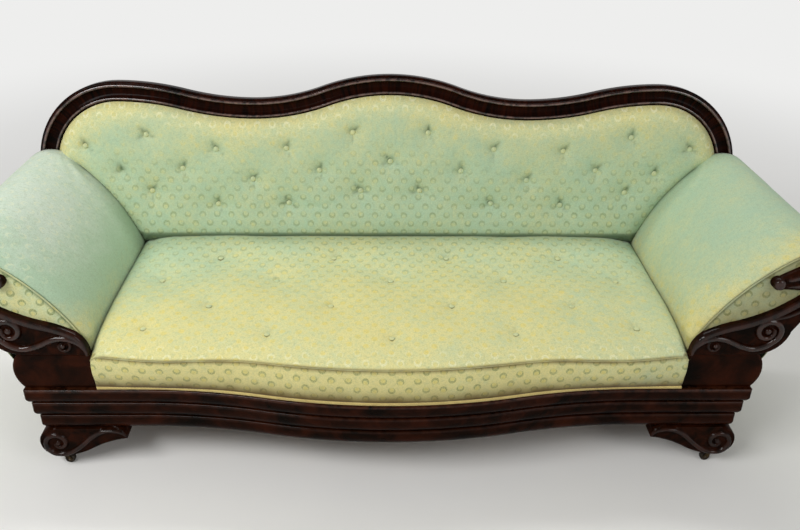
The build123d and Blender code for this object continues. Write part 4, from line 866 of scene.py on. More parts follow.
stump_low, stump_top = (STUMP_IN, STUMP_LOW), (STUMP_IN, STUMP_TOP)
stump_side = ((STUMP_OUT, STUMP_TOP), (STUMP_OUT + STUMP_BULGE, 311.5), (STUMP_OUT, STUMP_LOW))
stump_outline = joined((stump_low, stump_top), (stump_top, stump_side[0]), arc(*stump_side),
                       (stump_side[2], stump_low))
stump_grid, stump_faces, stump_rim, stump_depth = sawn_grid(stump_outline, 2.5)
stump_front = STUMP_FRONT + eased(stump_depth, 3.0)
stump_points, stump_skin = board(stump_grid, stump_faces, stump_rim, stump_front, STUMP_BACK)

hook_neck, hook_side, hook_crown = (
    (HOOK[0] + HOOK_R * math.cos(math.radians(t)), HOOK[1] + HOOK_R * math.sin(math.radians(t)))
    for t in (-80, 10, 95))
top_arcs = (arc((262, 184), (191, 130), (98, 92)), arc((98, 92), (58, 77), (27, 61)),
            arc((27, 61), (10, 40), (1.5, 0)))
top_edge = np.concatenate(top_arcs)
facing_outline = joined(
    ((1.5, 0), (170, 0)),
    arc((170, 0), (220, 20), (245, 68)),
    arc((245, 68), (268, 110), hook_neck),
    arc(hook_neck, hook_side, hook_crown, 40),
    arc(hook_crown, (222, 243), (184, 221)),
    arc((184, 221), (165, 205), (180, 190)),
    arc((180, 190), (214, 189), (262, 184)),
    *top_arcs,
)
facing_grid, facing_faces, facing_rim, facing_depth = sawn_grid(facing_outline, CARVING_CELL)
scroll = np.concatenate((
    flowing(((6, 10), (16, 29), (34, 44), (61, 51), (89, 45), (123, 29), (155, 21), (184, 29), (205, 46)),
            110),
    volute(VOLUTE, -42, 33, 1.15, 16.0),
))
curl = volute(CURL, 95, 20, 0.9, 8.0, 50)
upper_bead = flowing(((176, 103), (202, 110), (228, 119), (250, 132), (270, 152), (288, 180)), 60)
leaf_groove = flowing(((176, 205), (203, 208), (232, 214), (262, 216), (288, 204)), 50)
leaf_vein = flowing(((205, 226), (235, 236), (264, 240), (290, 230), (306, 206)), 50)
in_leaf = 1 / (1 + np.exp(-(facing_grid[:, 1] - 172 - 0.12 * (facing_grid[:, 0] - 260)) / 7))
top_gap, _, top_share = nearest(facing_grid, top_edge)
strip = 21.0 - 11.0 * top_share ** 2
crown = 2.0 * np.sin(math.pi * np.clip(top_gap / strip, 0, 1))
board_relief = crown - FACING_SUNK / (1 + np.exp(-(top_gap - strip)))
for carved in ((scroll, 9.4, 12.0, 0.3), (curl, 5.4, 8.0, 0.2), (upper_bead, 6.6, 9.0, 0.4)):
    board_relief = np.maximum(board_relief, bead(facing_grid, *carved) - FACING_SUNK)
for eye_place, eye_r in ((VOLUTE, 10.0), ((CURL[0] + 1, CURL[1]), 7.0)):
    eye_gap = np.hypot(*(facing_grid - eye_place).T)
    eye_dome = 9.0 * np.sqrt(np.clip(1 - (eye_gap / eye_r) ** 2, 0, None))
    board_relief = np.maximum(board_relief, eye_dome - 5.5)
leaf_relief = 4.0 - 10.0 * (1 - np.minimum(facing_depth / 20, 1)) ** 2
leaf_relief = leaf_relief - bead(facing_grid, leaf_groove, 7.0, 7.5, 0.4)
leaf_relief = leaf_relief - bead(facing_grid, leaf_vein, 3.6, 2.6, 0.4)
leaf_tip = np.hypot(*((facing_grid - (182, 205)) / (1.0, 1.15)).T)
leaf_relief = leaf_relief - 5.0 * np.exp(-((leaf_tip - 17) / 3.5) ** 2)
leaf_relief = np.maximum(leaf_relief, -3.0 + 10.0 * np.sqrt(np.clip(1 - (leaf_tip / 14.5) ** 2, 0, None)))
facing_relief = board_relief * (1 - in_leaf) + leaf_relief * in_leaf
facing_front = FACING_FRONT - facing_relief + eased(facing_depth, 3.5)
facing_points, facing_skin = board(facing_grid, facing_faces, facing_rim, facing_front, FACING_BACK)
facing_points = facing_points + (SEAT_HALF, 0, STUMP_TOP)
stump_wear = np.concatenate((0.2 * np.exp(-stump_depth / 2), 0 * stump_depth))
for side, side_name in SIDES:
    add_piece(side_name + "_stump", stump_points * (side, 1, 1), [(stump_skin, None)], rail_wood,
              [side_name + "_arm_stump"], {"wear_and_highlight": stump_wear, "polish": 0.0}, sharp=50)
    # the facing's raised work is painted paler, as rubbed wear and as painted highlight, and keeps polish
    add_piece(side_name + "_facing", facing_points * (side, 1, 1), [(facing_skin, None)], carved_wood,
              [side_name + "_arm_facing"],
              {"wear_and_highlight": 0.1 * raised(facing_relief), "polish": 0.4 * raised(facing_relief)}, sharp=60)

# Arms: hair stuffing over a round beech core, leaning out from the seat and rolling over.
# The damask is sewn to a piped welt round the front edge and tacked under the roll.
ROLL_R = 88.0
ROLL_JOIN = math.radians(128.0)
ROLL_END = math.radians(-46.0)
ROLL_FRONT = np.array((272.0, 570.0))    # middle of the roll, out from the seat and up, at each end
ROLL_BACK = np.array((234.0, 573.0))
BACK_RAKE = math.radians(8.4)
BACK_FOOT_Y = 568.0      # foot of the back's raked face, at the seat's crease
BACK_FOOT_Z = 394.0
ARM_FRONT = 30.2
ARM_BACK = 9.5           # how far in front of the back's face it ends
ARM_BEND = 398.0         # height at which its foot bends into the lean
ARM_SWELL = 22.0
ARM_EASE = 12.0          # rounding of the front edge, and its share of the length
ARM_EASE_SHARE = 0.075
ARM_FULLER = 4.0
FOOT_STUFFING = 58.0
LEAN_STUFFING = 52.0
ROLL_CORE_R = 48.4
WEDGE_FRONT = 24.0
WEDGE_BACK = 30.4
WEDGE_SWELL = 5.0        # how far the wedge swells in front of its sewn edge
ARM_WELT_Y = 24.6
ARM_WELT_R = 2.2
ARM_FOOT = np.linspace(300, 390, 8)      # heights of the points up the section's straight foot
LEAN_POINTS = 46
ARM_DRAWN = 9.0          # how far the arm's bend is drawn in over the seat at the back
ARM_LENGTH = 540.0


def back_point(x, up, out):
    """Place up the back's raked face from the seat's crease, and out in front of it."""
    y = BACK_FOOT_Y + up * math.sin(BACK_RAKE) - out * math.cos(BACK_RAKE)
    z = BACK_FOOT_Z + up * math.cos(BACK_RAKE) + out * math.sin(BACK_RAKE)
    return np.stack(np.broadcast_arrays(x, y, z), -1)


def up_the_back(z):
    """Distance up the back's raked face to a height."""
    return (z - BACK_FOOT_Z) / math.cos(BACK_RAKE)


def roll_middle(t):
    """Middle of the roll at each share of the way from front to back."""
    return ROLL_FRONT * (1 - t) + ROLL_BACK * t


def arm_foot(x):
    """Upright foot of the section, at each station's distance out."""
    return np.stack([np.stack((x, np.full(len(x), z)), -1) for z in ARM_FOOT], 1)


def arm_section(roll, inset, drawn=0.0):
    """Right arm's section for each of several stations: a straight foot, the lean's arc, and the roll's.

    The lean goes through the bend, the join with the roll and a point swelled from the chord between them.
    The bend is drawn in over the seat by the last measure.
    """
    centre = np.stack((SEAT_HALF + roll[:, 0], roll[:, 1]), -1)
    bend = np.stack((SEAT_HALF + 1.5 + inset - drawn, np.full(len(inset), ARM_BEND)), -1)
    join = centre + (ROLL_R - inset)[:, None] * (math.cos(ROLL_JOIN), math.sin(ROLL_JOIN))
    chord = join - bend
    square = np.stack((-chord[:, 1], chord[:, 0]), -1)
    swell = (bend + join) / 2 + ARM_SWELL * square / np.linalg.norm(chord, axis=1, keepdims=True)
    lean = np.stack([arc(b, s, j, LEAN_POINTS) for b, s, j in zip(bend, swell, join)])
    turn = np.linspace(ROLL_JOIN, ROLL_END, LEAN_POINTS)[1:]
    ring = np.stack((np.cos(turn), np.sin(turn)), -1)
    roll_points = centre[:, None] + (ROLL_R - inset)[:, None, None] * ring
    return np.concatenate((arm_foot(bend[:, 0]), lean, roll_points), 1), centre


arm_t = np.concatenate((np.linspace(0, 1, 9)[:-1] ** 1.5 * 0.07, np.linspace(0.07, 1, 58)))
edge_share = np.clip(1 - arm_t / ARM_EASE_SHARE, 0, 1)
arm_inset = ARM_EASE * (1 - np.sqrt(1 - edge_share ** 2))
arm_inset = arm_inset - ARM_FULLER * np.sin(math.pi * np.clip(arm_t, 0, 0.5)) ** 0.7
arm_outer, arm_centre = arm_section(roll_middle(arm_t[:, None]), arm_inset, ARM_DRAWN * arm_t)
stations, around = arm_outer.shape[:2]
lean_span = slice(len(ARM_FOOT), len(ARM_FOOT) + LEAN_POINTS)
lean_in = np.linspace((1, 0), (0.66, -0.75), LEAN_POINTS)
core_turn = np.linspace(ROLL_JOIN, ROLL_END, LEAN_POINTS - 1)
arm_inner = np.concatenate((
    arm_foot(arm_outer[:, 0, 0] - arm_inset + FOOT_STUFFING),
    arm_outer[:, lean_span] + LEAN_STUFFING * lean_in,
    arm_centre[:, None] + ROLL_CORE_R * np.stack((np.cos(core_turn), np.sin(core_turn)), -1),
), 1)


def along_arm(section, t):
    """Section points carried from the upright front to the raked plane of the back."""
    fore = np.stack((section[..., 0], np.full(section.shape[:2], ARM_FRONT), section[..., 1]), -1)
    aft = back_point(section[..., 0], up_the_back(section[..., 1]), ARM_BACK)
    return fore * (1 - t) + aft * t


arm_skin = along_arm(arm_outer, arm_t[:, None, None])
arm_uneven = 1.3 * waves(arm_skin[..., 1], arm_skin[..., 2] + arm_skin[..., 0], 150, 1.3)[..., None]
arm_skin = arm_skin + arm_uneven * (0.5, 0, 0.5) * np.sin(math.pi * arm_t)[:, None, None]
arm_loop = np.concatenate((arm_skin, along_arm(arm_inner, arm_t[:, None, None])[:, ::-1]), 1)
loop = arm_loop.shape[1]
cap = np.stack((np.arange(around - 1), np.arange(1, around), loop - 2 - np.arange(around - 1),
                loop - 1 - np.arange(around - 1)), -1)
arm_caps = np.concatenate((cap[:, ::-1], cap + (stations - 1) * loop))
arm_steps = np.linalg.norm(np.diff(arm_skin, axis=1), axis=2)
girth = np.concatenate((np.zeros((stations, 1)), arm_steps.cumsum(1)), 1)
arm_weave = np.zeros((stations, loop, 2))
arm_weave[:, :around] = np.stack((np.broadcast_to(arm_skin[..., 1], girth.shape), girth), -1)
arm_place = arm_loop.reshape(-1, 3)
arm_x, _, arm_z = arm_place.T
arm_share = np.repeat(arm_t, loop)
arm_low = np.exp(-np.clip(arm_z - 400, 0, None) / 60)
arm_crown = np.clip((arm_z - 430) / 160, 0, 1)
# Painted shade along the arm's crease with the seat, and where the inside back meets it, not on the roll.
seat_crease_shade = np.exp(-np.clip(arm_z - 396, 0, None) / 5)
back_crease_shade = np.exp(-np.clip(0.962 - arm_share, 0, None) * ARM_LENGTH / 6)
back_crease_shade = back_crease_shade * np.clip((910 - arm_x) / 25, 0, 1)
# On the arms the figure shows darker low down and paler on the tops, as painted sheen.
arm_fields = {
    "straw_and_painted_light": 0.1 + 0.25 * arm_low + 0.5 * np.exp(-arm_share * 7),
    "soil_and_shade": 0.1 * np.exp(-arm_share * 40),
    "painted_shade": 0.3 * seat_crease_shade + 0.7 * back_crease_shade,
    "figure": 0.3 - 0.95 * smooth(arm_crown),
}
on_skin = (np.arange(loop) < around)[None] & (arm_t[:, None] > 0.0) & (arm_t[:, None] < 0.97)
on_skin &= (np.arange(loop) > 5)[None] & (np.arange(loop) < around - 4)[None]
arm_held = 1.0 - on_skin.ravel()
wedge_edge = arm_section(ROLL_FRONT[None], np.array((14.0,)))[0][0, 6:]
wedge_outline = np.concatenate((wedge_edge, ((905.0, 420.0), (790.0, 364.5), (753.5, 364.5))))
wedge_grid, wedge_faces, wedge_rim, wedge_depth = sawn_grid(wedge_outline, 5.0)
wedge_front = WEDGE_FRONT - WEDGE_SWELL * (1 - np.exp(-wedge_depth / 14))
wedge_front = wedge_front + 0.8 * waves(*wedge_grid.T, 90, 0.4)
wedge_points, wedge_skin = board(wedge_grid, wedge_faces, wedge_rim, wedge_front, WEDGE_BACK)
wedge_shade = np.tile(0.7 * np.exp(-wedge_depth / 4), 2)
welt_section = arm_section(ROLL_FRONT[None], np.array((13.6,)))[0][0, 8:]
welt_path = np.stack((welt_section[:, 0], np.full(len(welt_section), ARM_WELT_Y), welt_section[:, 1]), -1)
arm_welt_points, arm_welt_skins = tube(welt_path, ARM_WELT_R, (0, 1, 0))
for side, side_name in SIDES:
    arm = add_piece(side_name + "_arm", arm_place * (side, 1, 1), [
        (quads(stations, loop, wrap=True), arm_weave.reshape(-1, 2)), (arm_caps, None),
    ], damask, [side_name + "_arm_pad"], arm_fields | {
        # Painted light: the tops turn paler and cooler, the left's much more; the right arm is yellower.
        "straw_and_painted_light": arm_fields["straw_and_painted_light"] + 0.15 * side - (0.4 - 0.3 * side) * arm_crown,
        # darker towards the foot, and on the right arm
        "soil_and_shade": arm_fields["soil_and_shade"] + 0.06 + 0.04 * side + 0.1 * arm_low,
        # the figure, and its painted sheen on the tops, shows more on the left arm
        "figure": arm_fields["figure"] * (0.45 - 0.25 * side),
    })
    inflate(arm, arm_held, pressure=3.0, most=8.0)
    # The wedge is darkened all over, as soil and painted shade, the right one more, with painted shade at its
    # edges.
    wedge = add_piece(side_name + "_arm_wedge", wedge_points * (side, 1, 1),
                      [(wedge_skin, wedge_points[:, [0, 2]])], damask, [side_name + "_arm_front"],
                      {"straw_and_painted_light": 0.5, "soil_and_shade": 0.3 + 0.2 * side, "painted_shade": wedge_shade, "figure": 0.9})
    # The piping is darkened all round, as painted shade, so that it shows as a thin dark line.
    add_piece(side_name + "_arm_piping", arm_welt_points * (side, 1, 1), arm_welt_skins, damask,
              ["arm_welts"] if side == 1 else [],
              {"straw_and_painted_light": 0.5, "soil_and_shade": 0.4 + 0.1 * side} | UNFIGURED_UNSHADED)

# Outside arms and outside back: plain lining cloth, tacked under the roll, the crest and the rails.
# An arm's cover swells between its edges, and is turned in on the back stile behind.
STILE_TOP = 226.2        # measured up the back's face
STILE_X = 1012.0
STILE_RUN = 391.5
STILE_IN = 116.0
COVER_SIDE = np.array((929.0, 320.0))    # where the cover turns down, and its foot on the end rail
COVER_FOOT = np.array((898.0, 194.0))
COVER_TACK_R = 62.0      # the tacks' distance and direction from the middle of the roll
COVER_TACK_TURN = math.radians(-52)
COVER_BEHIND = 14.0      # how far behind the back's face it is turned in
COVER_SWELL = 26.0
COVER_ON_RAIL = 262.0    # below this it lies on the end rail, and goes no further back than the next
COVER_RAIL_BACK = 547.0


def lining_cloth(name):
    """Plain faded sateen: a fine broken grain of threads, slow fading, and dust towards the floor."""
    material, shader, place = finish(name, Specular_IOR_Level=0.15, Sheen_Weight=0.1)
    threads = place.noise(900.0, 2.0)
    fade = place.noise(4.0, 4.0)
    low = 1.0 - place.part(2).ramp(0.2, 0.5)
    ground = (0.5 * fade + 0.4 * threads).mix(srgb(150, 168, 122), srgb(186, 190, 142))
    (0.5 * low * fade).mix(ground, srgb(110, 98, 66)).feeds(shader, "Base Color")
    (0.75 + 0.15 * threads).feeds(shader, "Roughness")
    threads.raises(shader, 0.15, 0.0005)
    return material


def cloth_area(points, faces):
    """Area of a cloth in square metres, from its faces' diagonals."""
    a, b, c, d = points[faces].transpose(1, 0, 2)
    return float(np.linalg.norm(np.cross(c - a, d - b), axis=1).sum() / 2 * 1e-6)


def add_cover(name, points, faces, replaced):
    """A stretched cover, given its thickness; its area is worked out, but not kept."""
    cover = add_piece(name, points, [(faces, None)], lining, replaced, closed=False)
    thick = cover.modifiers.new("thickness", "SOLIDIFY")
    thick.thickness = 0.0016
    thick.offset = 0.0
    cloth_area(points, faces)
    return cover


def stile_comes_in(down):
    """How far in the stile's edge has come at a distance below its top: two equal arcs that make an S."""
    radius = ((STILE_RUN / 2) ** 2 + (STILE_IN / 2) ** 2) / STILE_IN
    from_end = np.minimum(down, STILE_RUN - down)
    swing = radius - np.sqrt(radius ** 2 - from_end ** 2)
    return np.where(down < STILE_RUN / 2, swing, STILE_IN - swing)


lining = lining_cloth("lining_cloth")
cover_t = np.linspace(0, 1, 56)[:, None]
tack_way = np.array((math.cos(COVER_TACK_TURN), math.sin(COVER_TACK_TURN)))
cover_top = roll_middle(cover_t) + (SEAT_HALF, 0) + COVER_TACK_R * tack_way
cover_fall = np.linspace(COVER_SIDE, COVER_FOOT, 14)[1:]
cover_section = np.stack([
    np.concatenate((arc(top, (top + COVER_SIDE) / 2 - (6.0, 0.0), COVER_SIDE, 26), cover_fall))
    for top in cover_top])
cover_x, cover_z = cover_section[..., 0], cover_section[..., 1]
on_rail = cover_z < COVER_ON_RAIL
cover_fore = np.stack((cover_x, np.where(on_rail, 38.6, 30.6), cover_z), -1)
cover_up = up_the_back(cover_z)
cover_aft = back_point(cover_x, cover_up, -COVER_BEHIND)
cover_aft[..., 1] = np.minimum(cover_aft[..., 1], np.where(on_rail, COVER_RAIL_BACK, np.inf))
cover_points = cover_fore * (1 - cover_t[..., None]) + cover_aft * cover_t[..., None]
cover_uneven = waves(cover_points[..., 1], cover_points[..., 2], 260, 0.2) * np.sin(math.pi * cover_t)
cover_points[..., 0] += 1.5 + 2.0 * cover_uneven
cover_rise = cover_points[..., 2] - COVER_ON_RAIL
cover_share = np.clip(cover_rise / cover_rise[:, :1], 0, 1)
ends_held = (1 - np.exp(-cover_t / 0.05)) * (1 - np.exp(-(1 - cover_t) / 0.12))
cover_points[..., 0] += COVER_SWELL * np.sin(math.pi * cover_share) * ends_held
stile_side = STILE_X + 1.3 - stile_comes_in(np.clip(STILE_TOP - cover_up, 0, STILE_RUN))
turned_in = smooth(np.clip((cover_t - 0.84) / 0.12, 0, 1))
cover_points[..., 0] += (stile_side - cover_points[..., 0]) * turned_in
cover_faces = quads(*cover_points.shape[:2])
for side, side_name in SIDES:
    add_cover(side_name + "_outside_arm_cover", cover_points.reshape(-1, 3) * (side, 1, 1),
              cover_faces[:, ::-side], [side_name + "_outside_arm"])

# Inside back: stuffed over webbing and hessian, and drawn in by three rows of buttons tied through.
# One button has gone, and its hollow is left. The outside back closes the frame behind.
CREST_TOP = 489.0
CREST_VALLEY = (390.6, 419.5)
CREST_SHOULDER = (772.2, 466.0)
CREST_END_R = 239.8
CREST_WIDTH = 57.0
PAD_LOW = -12.0          # foot of the stuffing, up the back's face
PAD_BEHIND = 6.0         # how far it goes behind that face
SEAT_MEETS = 29.0        # where the seat bears on it
LOST_BUTTON = (-771.9, 215.0)
CLOSING_LOW = -127.0     # foot of the outside back, and how far it lies behind the face
CLOSING_BEHIND = 32.4


def crest_line(inset, last_turn=0.0):
    """Right half of the crest's line, below its top edge by an inset: hump, valley, shoulder and end.

    Level places are joined by two equal arcs, so the turn is twice the slope angle of the line between them.
    """
    places = ((0.0, CREST_TOP), CREST_VALLEY, CREST_SHOULDER)
    turns, radii = [], []
    for start, end in zip(places, places[1:]):
        turns.append(2 * math.atan2(abs(end[1] - start[1]), end[0] - start[0]))
        radii.append((end[0] - start[0]) / (2 * math.sin(turns[-1])))
    over, under = math.pi / 2, 3 * math.pi / 2
    (valley_x, valley_up), (shoulder_x, shoulder_up) = CREST_VALLEY, CREST_SHOULDER
    spans = (
        ((0.0, CREST_TOP - radii[0]), radii[0] - inset, over, over - turns[0]),
        ((valley_x, valley_up + radii[0]), radii[0] + inset, under - turns[0], under),
        ((valley_x, valley_up + radii[1]), radii[1] + inset, under, under + turns[1]),
        ((shoulder_x, shoulder_up - radii[1]), radii[1] - inset, over + turns[1], over),
        ((shoulder_x, shoulder_up - CREST_END_R), CREST_END_R - inset, over, last_turn),
    )
    runs = []
    for centre, radius, first, last in spans:
        swept = np.linspace(first, last, 22)
        runs.append(np.asarray(centre) + radius * np.stack((np.cos(swept), np.sin(swept)), -1))
    return np.concatenate([run[:-1] for run in runs[:-1]] + [runs[-1]])


pad_crest = crest_line(CREST_WIDTH - 1.0, math.radians(2.0))
pad_arm = arm_section(ROLL_BACK[None], np.array((16.0,)), ARM_DRAWN)[0][0, 4:50]
pad_arm = np.stack((pad_arm[:, 0], up_the_back(pad_arm[:, 1])), -1)
pad_arm = pad_arm[(pad_arm[:, 1] > PAD_LOW) & (pad_arm[:, 0] < pad_crest[-1, 0] - 6)]
half_outline = np.concatenate((pad_crest, pad_arm[::-1], ((pad_arm[0, 0], PAD_LOW),)))
back_outline = np.concatenate((half_outline, half_outline[:0:-1] * (-1, 1)))
back_grid, back_faces, back_rim, back_depth = sawn_grid(back_outline, 7.0)
back_row_top = ((107.7, 331), (298.2, 284), (498.9, 280), (693.7, 321), (869, 287))
back_row_middle = ((0, 248), (205.2, 220), (397.8, 193), (597, 224), (771.9, 215))
back_row_low = ((86, 160), (295.9, 122), (501.8, 118), (690, 157))
right_ties = np.array(back_row_top + back_row_middle + back_row_low, float)
left_ties = right_ties[right_ties[:, 0] > 0] * (-1, 1)
back_ties = np.concatenate((right_ties, left_ties))
back_fall, back_gap, back_tuft_shade = tufts(*back_grid.T, back_ties, depth=17.0, width=15.0, pleats=3.5)
crest_run = np.concatenate((pad_crest[::-1], pad_crest[1:] * (-1, 1)))
crest_gap = nearest(back_grid, crest_run)[0]


def pad_fullness(depth, under_crest):
    """Thickness of the stuffing at a distance from the rim: slow to rise from the crest, fast elsewhere."""
    return 4.0 + 34.0 * (1 - np.exp(-depth / (10.0 + 17.0 * np.exp(-(under_crest - depth) / 50))))


back_out = pad_fullness(back_depth, crest_gap) - back_fall * np.clip(back_depth / 30, 0, 1)
back_out = back_out + 1.8 * waves(*back_grid.T, 190, 0.9) * np.clip(back_depth / 60, 0, 1)
back_fore = back_point(back_grid[:, 0], back_grid[:, 1], back_out)
back_aft = back_point(back_grid[:, 0], back_grid[:, 1], -PAD_BEHIND)
back_count = len(back_grid)
back_walls = np.concatenate((back_rim[:, ::-1], back_rim + back_count), 1)
back_both = np.concatenate((back_fore, back_aft))
back_straw = np.tile(0.24 + 0.55 * np.exp(-crest_gap / 55), 2)
back_soil = np.tile(0.1 * np.exp(-back_depth / 9), 2)
edge_shade = 0.6 * np.exp(-back_depth / 6) * (crest_gap > 12)
foot_shade = 0.7 * np.exp(-np.clip(back_grid[:, 1] - SEAT_MEETS, 0, None) / 4)
back_shade = np.tile(edge_shade + foot_shade + 0.8 * back_tuft_shade, 2)
# The figure shows paler under the crest, as painted sheen.
back_figure_and_sheen = np.tile(0.6 - 1.7 * np.exp(-crest_gap / 80), 2)
back = add_piece("inside_back", back_both, [
    (back_faces, np.tile(back_grid, (2, 1))), (back_faces[:, ::-1] + back_count, None), (back_walls, None),
], damask, ["back_pad"],
    {"straw_and_painted_light": back_straw, "soil_and_shade": back_soil, "painted_shade": back_shade, "figure": back_figure_and_sheen})
back_held = np.concatenate((np.where((back_gap < 11) | (back_depth < 1), 1.0, 0.0), np.ones(back_count)))
inflate(back, back_held, pressure=4.0, most=14.0)
kept_ties = back_ties[(back_ties != LOST_BUTTON).any(1)]
tie_depth = nearest(kept_ties, back_outline, closed=True)[0]
tie_out = pad_fullness(tie_depth, nearest(kept_ties, crest_run)[0]) - 14.0
facing_out = (0, -math.cos(BACK_RAKE), math.sin(BACK_RAKE))
tie_places = back_point(kept_ties[:, 0], kept_ties[:, 1], tie_out + 2.4)
back_button_points, back_button_skins = domes(tie_places, facing_out, BUTTON_R, rise=4.6)
# The back's buttons have the same painted shade round their feet, a little lighter.
add_piece("back_button_rows", back_button_points, back_button_skins, damask, ["back_buttons"],
          {"straw_and_painted_light": 0.45, "soil_and_shade": np.tile(0.7 * BUTTON_FOOT_SHADE, len(kept_ties))} | UNFIGURED_UNSHADED)

stile_down = np.linspace(0, STILE_RUN, 30)
stile_edge = np.stack((STILE_X - 20.0 - stile_comes_in(stile_down), STILE_TOP - stile_down), -1)
stile_edge = stile_edge[stile_edge[:, 1] > CLOSING_LOW]
half_cover = np.concatenate((crest_line(20.0)[:-1], stile_edge, ((stile_edge[-1, 0], CLOSING_LOW),)))
cover_outline = np.concatenate((half_cover, half_cover[:0:-1] * (-1, 1)))
closing_grid, closing_faces, _, closing_depth = sawn_grid(cover_outline, 12.0)
closing_uneven = 1.2 * waves(*closing_grid.T, 230, 2.2) * np.clip(closing_depth / 80, 0, 1)
closing_out = -CLOSING_BEHIND - 3.0 * (1 - np.exp(-closing_depth / 40)) - closing_uneven
add_cover("outside_back_cover", back_point(closing_grid[:, 0], closing_grid[:, 1], closing_out),
          closing_faces[:, ::-1], ["outside_back"])

# Crest: the moulded top rail in three lengths, with its stiles, veneered across the grain and polished.
# Two beads with a wide cove between them run from end to end.
CREST_BEHIND = 30.0
crest_wood = polished_wood("crest_mahogany", srgb(5, 3, 2), srgb(43, 14, 5), srgb(132, 98, 88), (95, 9, 1),
                           gloss=0.14, shine=0.03, mapped=True)
dress(["right_back_stile", "left_back_stile"], stained_wood)


def moulding_section():
    """Inset from the top edge and rise off the back's face: eased edge, bead, cove, bead, eased edge.

    The last column is the polish, which the two beads alone keep; it also paints the beads' crowns paler,
    as rubbed wear and as painted highlight.
    """
    ease = np.radians(np.linspace(180, 90, 6))
    edge = np.stack((6.0 + 6.0 * np.cos(ease), -4.0 + 6.0 * np.sin(ease), 0 * ease), -1)
    across = np.linspace(0, math.pi, 13)
    bead_out = np.stack((12.0 - 5.6 * np.cos(across), 2.0 + 5.4 * np.sin(across), np.sin(across) ** 6), -1)
    hollow = np.linspace(-1, 1, 15)[1:-1]
    cove = np.stack((30.3 + 12.7 * hollow, 2.0 - 4.5 * (1 - hollow ** 2), 0 * hollow), -1)
    bead_in = np.stack((48.0 - 4.8 * np.cos(across), 2.0 + 4.8 * np.sin(across), np.sin(across) ** 6), -1)
    back = ((56.0, 0.5, 0.0), (CREST_WIDTH, -3.0, 0.0), (CREST_WIDTH, -CREST_BEHIND, 0.0))
    return np.concatenate((((0.0, -CREST_BEHIND, 0.0),), edge, bead_out, cove, bead_in, back))


def crest_length(first, last):
    """The moulding between two places of the right half's line, counted along its points."""
    section = moulding_section()
    lines = np.stack([crest_line(inset)[first:last] for inset in section[:, 0]], 1)
    points = back_point(lines[..., 0], lines[..., 1], section[:, 1])
    girth = np.cumsum(np.hypot(*np.gradient(section[:, :2], axis=0).T))
    return points, np.stack(np.meshgrid(run_along(points[:, 0]), girth, indexing="ij"), -1)


def add_crest(name, points, weave, node):
    """One length of the crest, closed at both ends."""
    rows, columns = points.shape[:2]
    ends = np.arange(columns) + np.array([[0], [(rows - 1) * columns]])
    ends[0] = ends[0][::-1]
    weave = weave.reshape(-1, 2)
    # the beads' crowns are painted paler, as rubbed wear and as painted highlight, and keep the polish
    beads = np.tile(moulding_section()[:, 2], rows)
    skins = [(quads(rows, columns, wrap=True), weave), (ends, weave)]
    add_piece(name, points.reshape(-1, 3), skins, crest_wood, [node],
              {"wear_and_highlight": 0.6 * beads, "polish": beads}, sharp=50)


valley_at = 43
middle_points, middle_weave = crest_length(0, valley_at)
outer_points, outer_weave = crest_length(valley_at - 1, None)
whole_middle = np.concatenate((middle_points[:0:-1] * (-1, 1, 1), middle_points))
whole_weave = np.concatenate((middle_weave[:0:-1] * (-1, 1), middle_weave))
add_crest("crest_middle", whole_middle, whole_weave, "crest_center")
add_crest("crest_right", outer_points, outer_weave, "right_crest")
add_crest("crest_left", outer_points * (-1, 1, 1), outer_weave, "left_crest")

# Floor and light: a pale floor that fades into a pale backdrop, and soft light from above the left and front.
# The camera stands at the photograph's angle.
BACKDROP = srgb(238, 238, 237)


def background_rays(place):
    """One for the rays that show the background: the camera's, and those seen in gloss or through glass."""
    seen = place.node("LightPath", {}, output="Is Camera Ray")
    seen = seen + place.node("LightPath", {}, output="Is Glossy Ray")
    return seen + place.node("LightPath", {}, output="Is Transmission Ray")


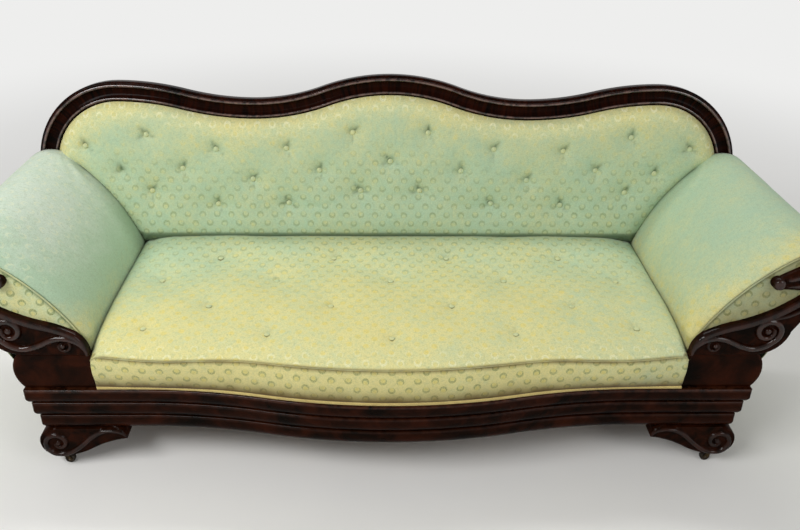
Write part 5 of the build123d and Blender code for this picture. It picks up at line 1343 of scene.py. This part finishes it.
floor_mesh = bpy.data.meshes.new("floor")
floor_mesh.from_pydata([(-14, -10, 0), (14, -10, 0), (14, 18, 0), (-14, 18, 0)], [], [(0, 1, 2, 3)])
floor = bpy.data.objects.new("floor", floor_mesh)
bpy.context.scene.collection.objects.link(floor)
floor_paint, floor_shader, floor_place = finish("pale_floor", Specular_IOR_Level=0.05)
floor_place.noise(3.0, 3.0).mix(srgb(240, 239, 236), srgb(246, 245, 242)).feeds(floor_shader, "Base Color")
floor_shader.inputs["Roughness"].default_value = 0.9
seen = background_rays(floor_place)
away = floor_place.node("VectorMath", {0: floor_place}, output=1, operation="LENGTH").ramp(1.2, 4.2)
paper = floor_place.node("Emission", {"Color": BACKDROP, "Strength": 1.0})
lit_floor = Shade(floor_paint.node_tree, floor_shader.outputs[0])
floor_place.node("MixShader", {0: seen * away, 1: lit_floor, 2: paper}).feeds(
    floor_paint.node_tree.nodes["Material Output"], "Surface")
floor_mesh.materials.append(floor_paint)


def softbox(name, place, aim, size, watts):
    """An oblong lamp that faces a point."""
    lamp = bpy.data.lights.new(name, "AREA")
    lamp.shape = "RECTANGLE"
    lamp.size, lamp.size_y = size
    lamp.energy = watts
    stand = bpy.data.objects.new(name, lamp)
    bpy.context.scene.collection.objects.link(stand)
    stand.location = place
    stand.rotation_euler = (Vector(aim) - Vector(place)).to_track_quat("-Z", "Y").to_euler()


softbox("key", (-2.0, -1.8, 2.5), (-0.1, 0, 0.5), (2.2, 0.7), 66)
softbox("fill", (2.6, -2.6, 2.4), (0, 0, 0.4), (1.6, 1.6), 26)
softbox("back", (0.2, 1.25, 3.3), (0, 0.1, 0.6), (3.4, 0.3), 34)
world = bpy.data.worlds.new("room")
bpy.context.scene.world = world
world.use_nodes = True
sky = world.node_tree.nodes["Background"]
sky_way = Shade(world.node_tree, world.node_tree.nodes.new("ShaderNodeTexCoord").outputs["Generated"])
sky_pale = background_rays(sky_way) * (1.0 - sky_way.part(2).ramp(0.0, 0.5))
sky_pale.mix((0.3, 0.3, 0.297, 1.0), BACKDROP).feeds(sky, "Color")

pitch, yaw, roll = math.radians(29.09), math.radians(1.722), math.radians(0.9675)
ahead = Vector((math.sin(yaw) * math.cos(pitch), math.cos(yaw) * math.cos(pitch), -math.sin(pitch)))
level = Vector((math.cos(yaw), -math.sin(yaw), 0))
upward = level.cross(ahead)
aside = math.cos(roll) * level + math.sin(roll) * upward
aloft = -math.sin(roll) * level + math.cos(roll) * upward
stance = Matrix((aside, aloft, -ahead)).transposed().to_4x4()
stance.translation = Vector((-0.0368, -2.0398, 1.5896))
camera = bpy.data.objects.new("camera", bpy.data.cameras.new("camera"))
bpy.context.scene.collection.objects.link(camera)
camera.matrix_world = stance
camera.data.lens = 38.7
camera.data.sensor_width = 36.0
bpy.context.scene.camera = camera
bpy.context.scene.view_settings.view_transform = "Standard"
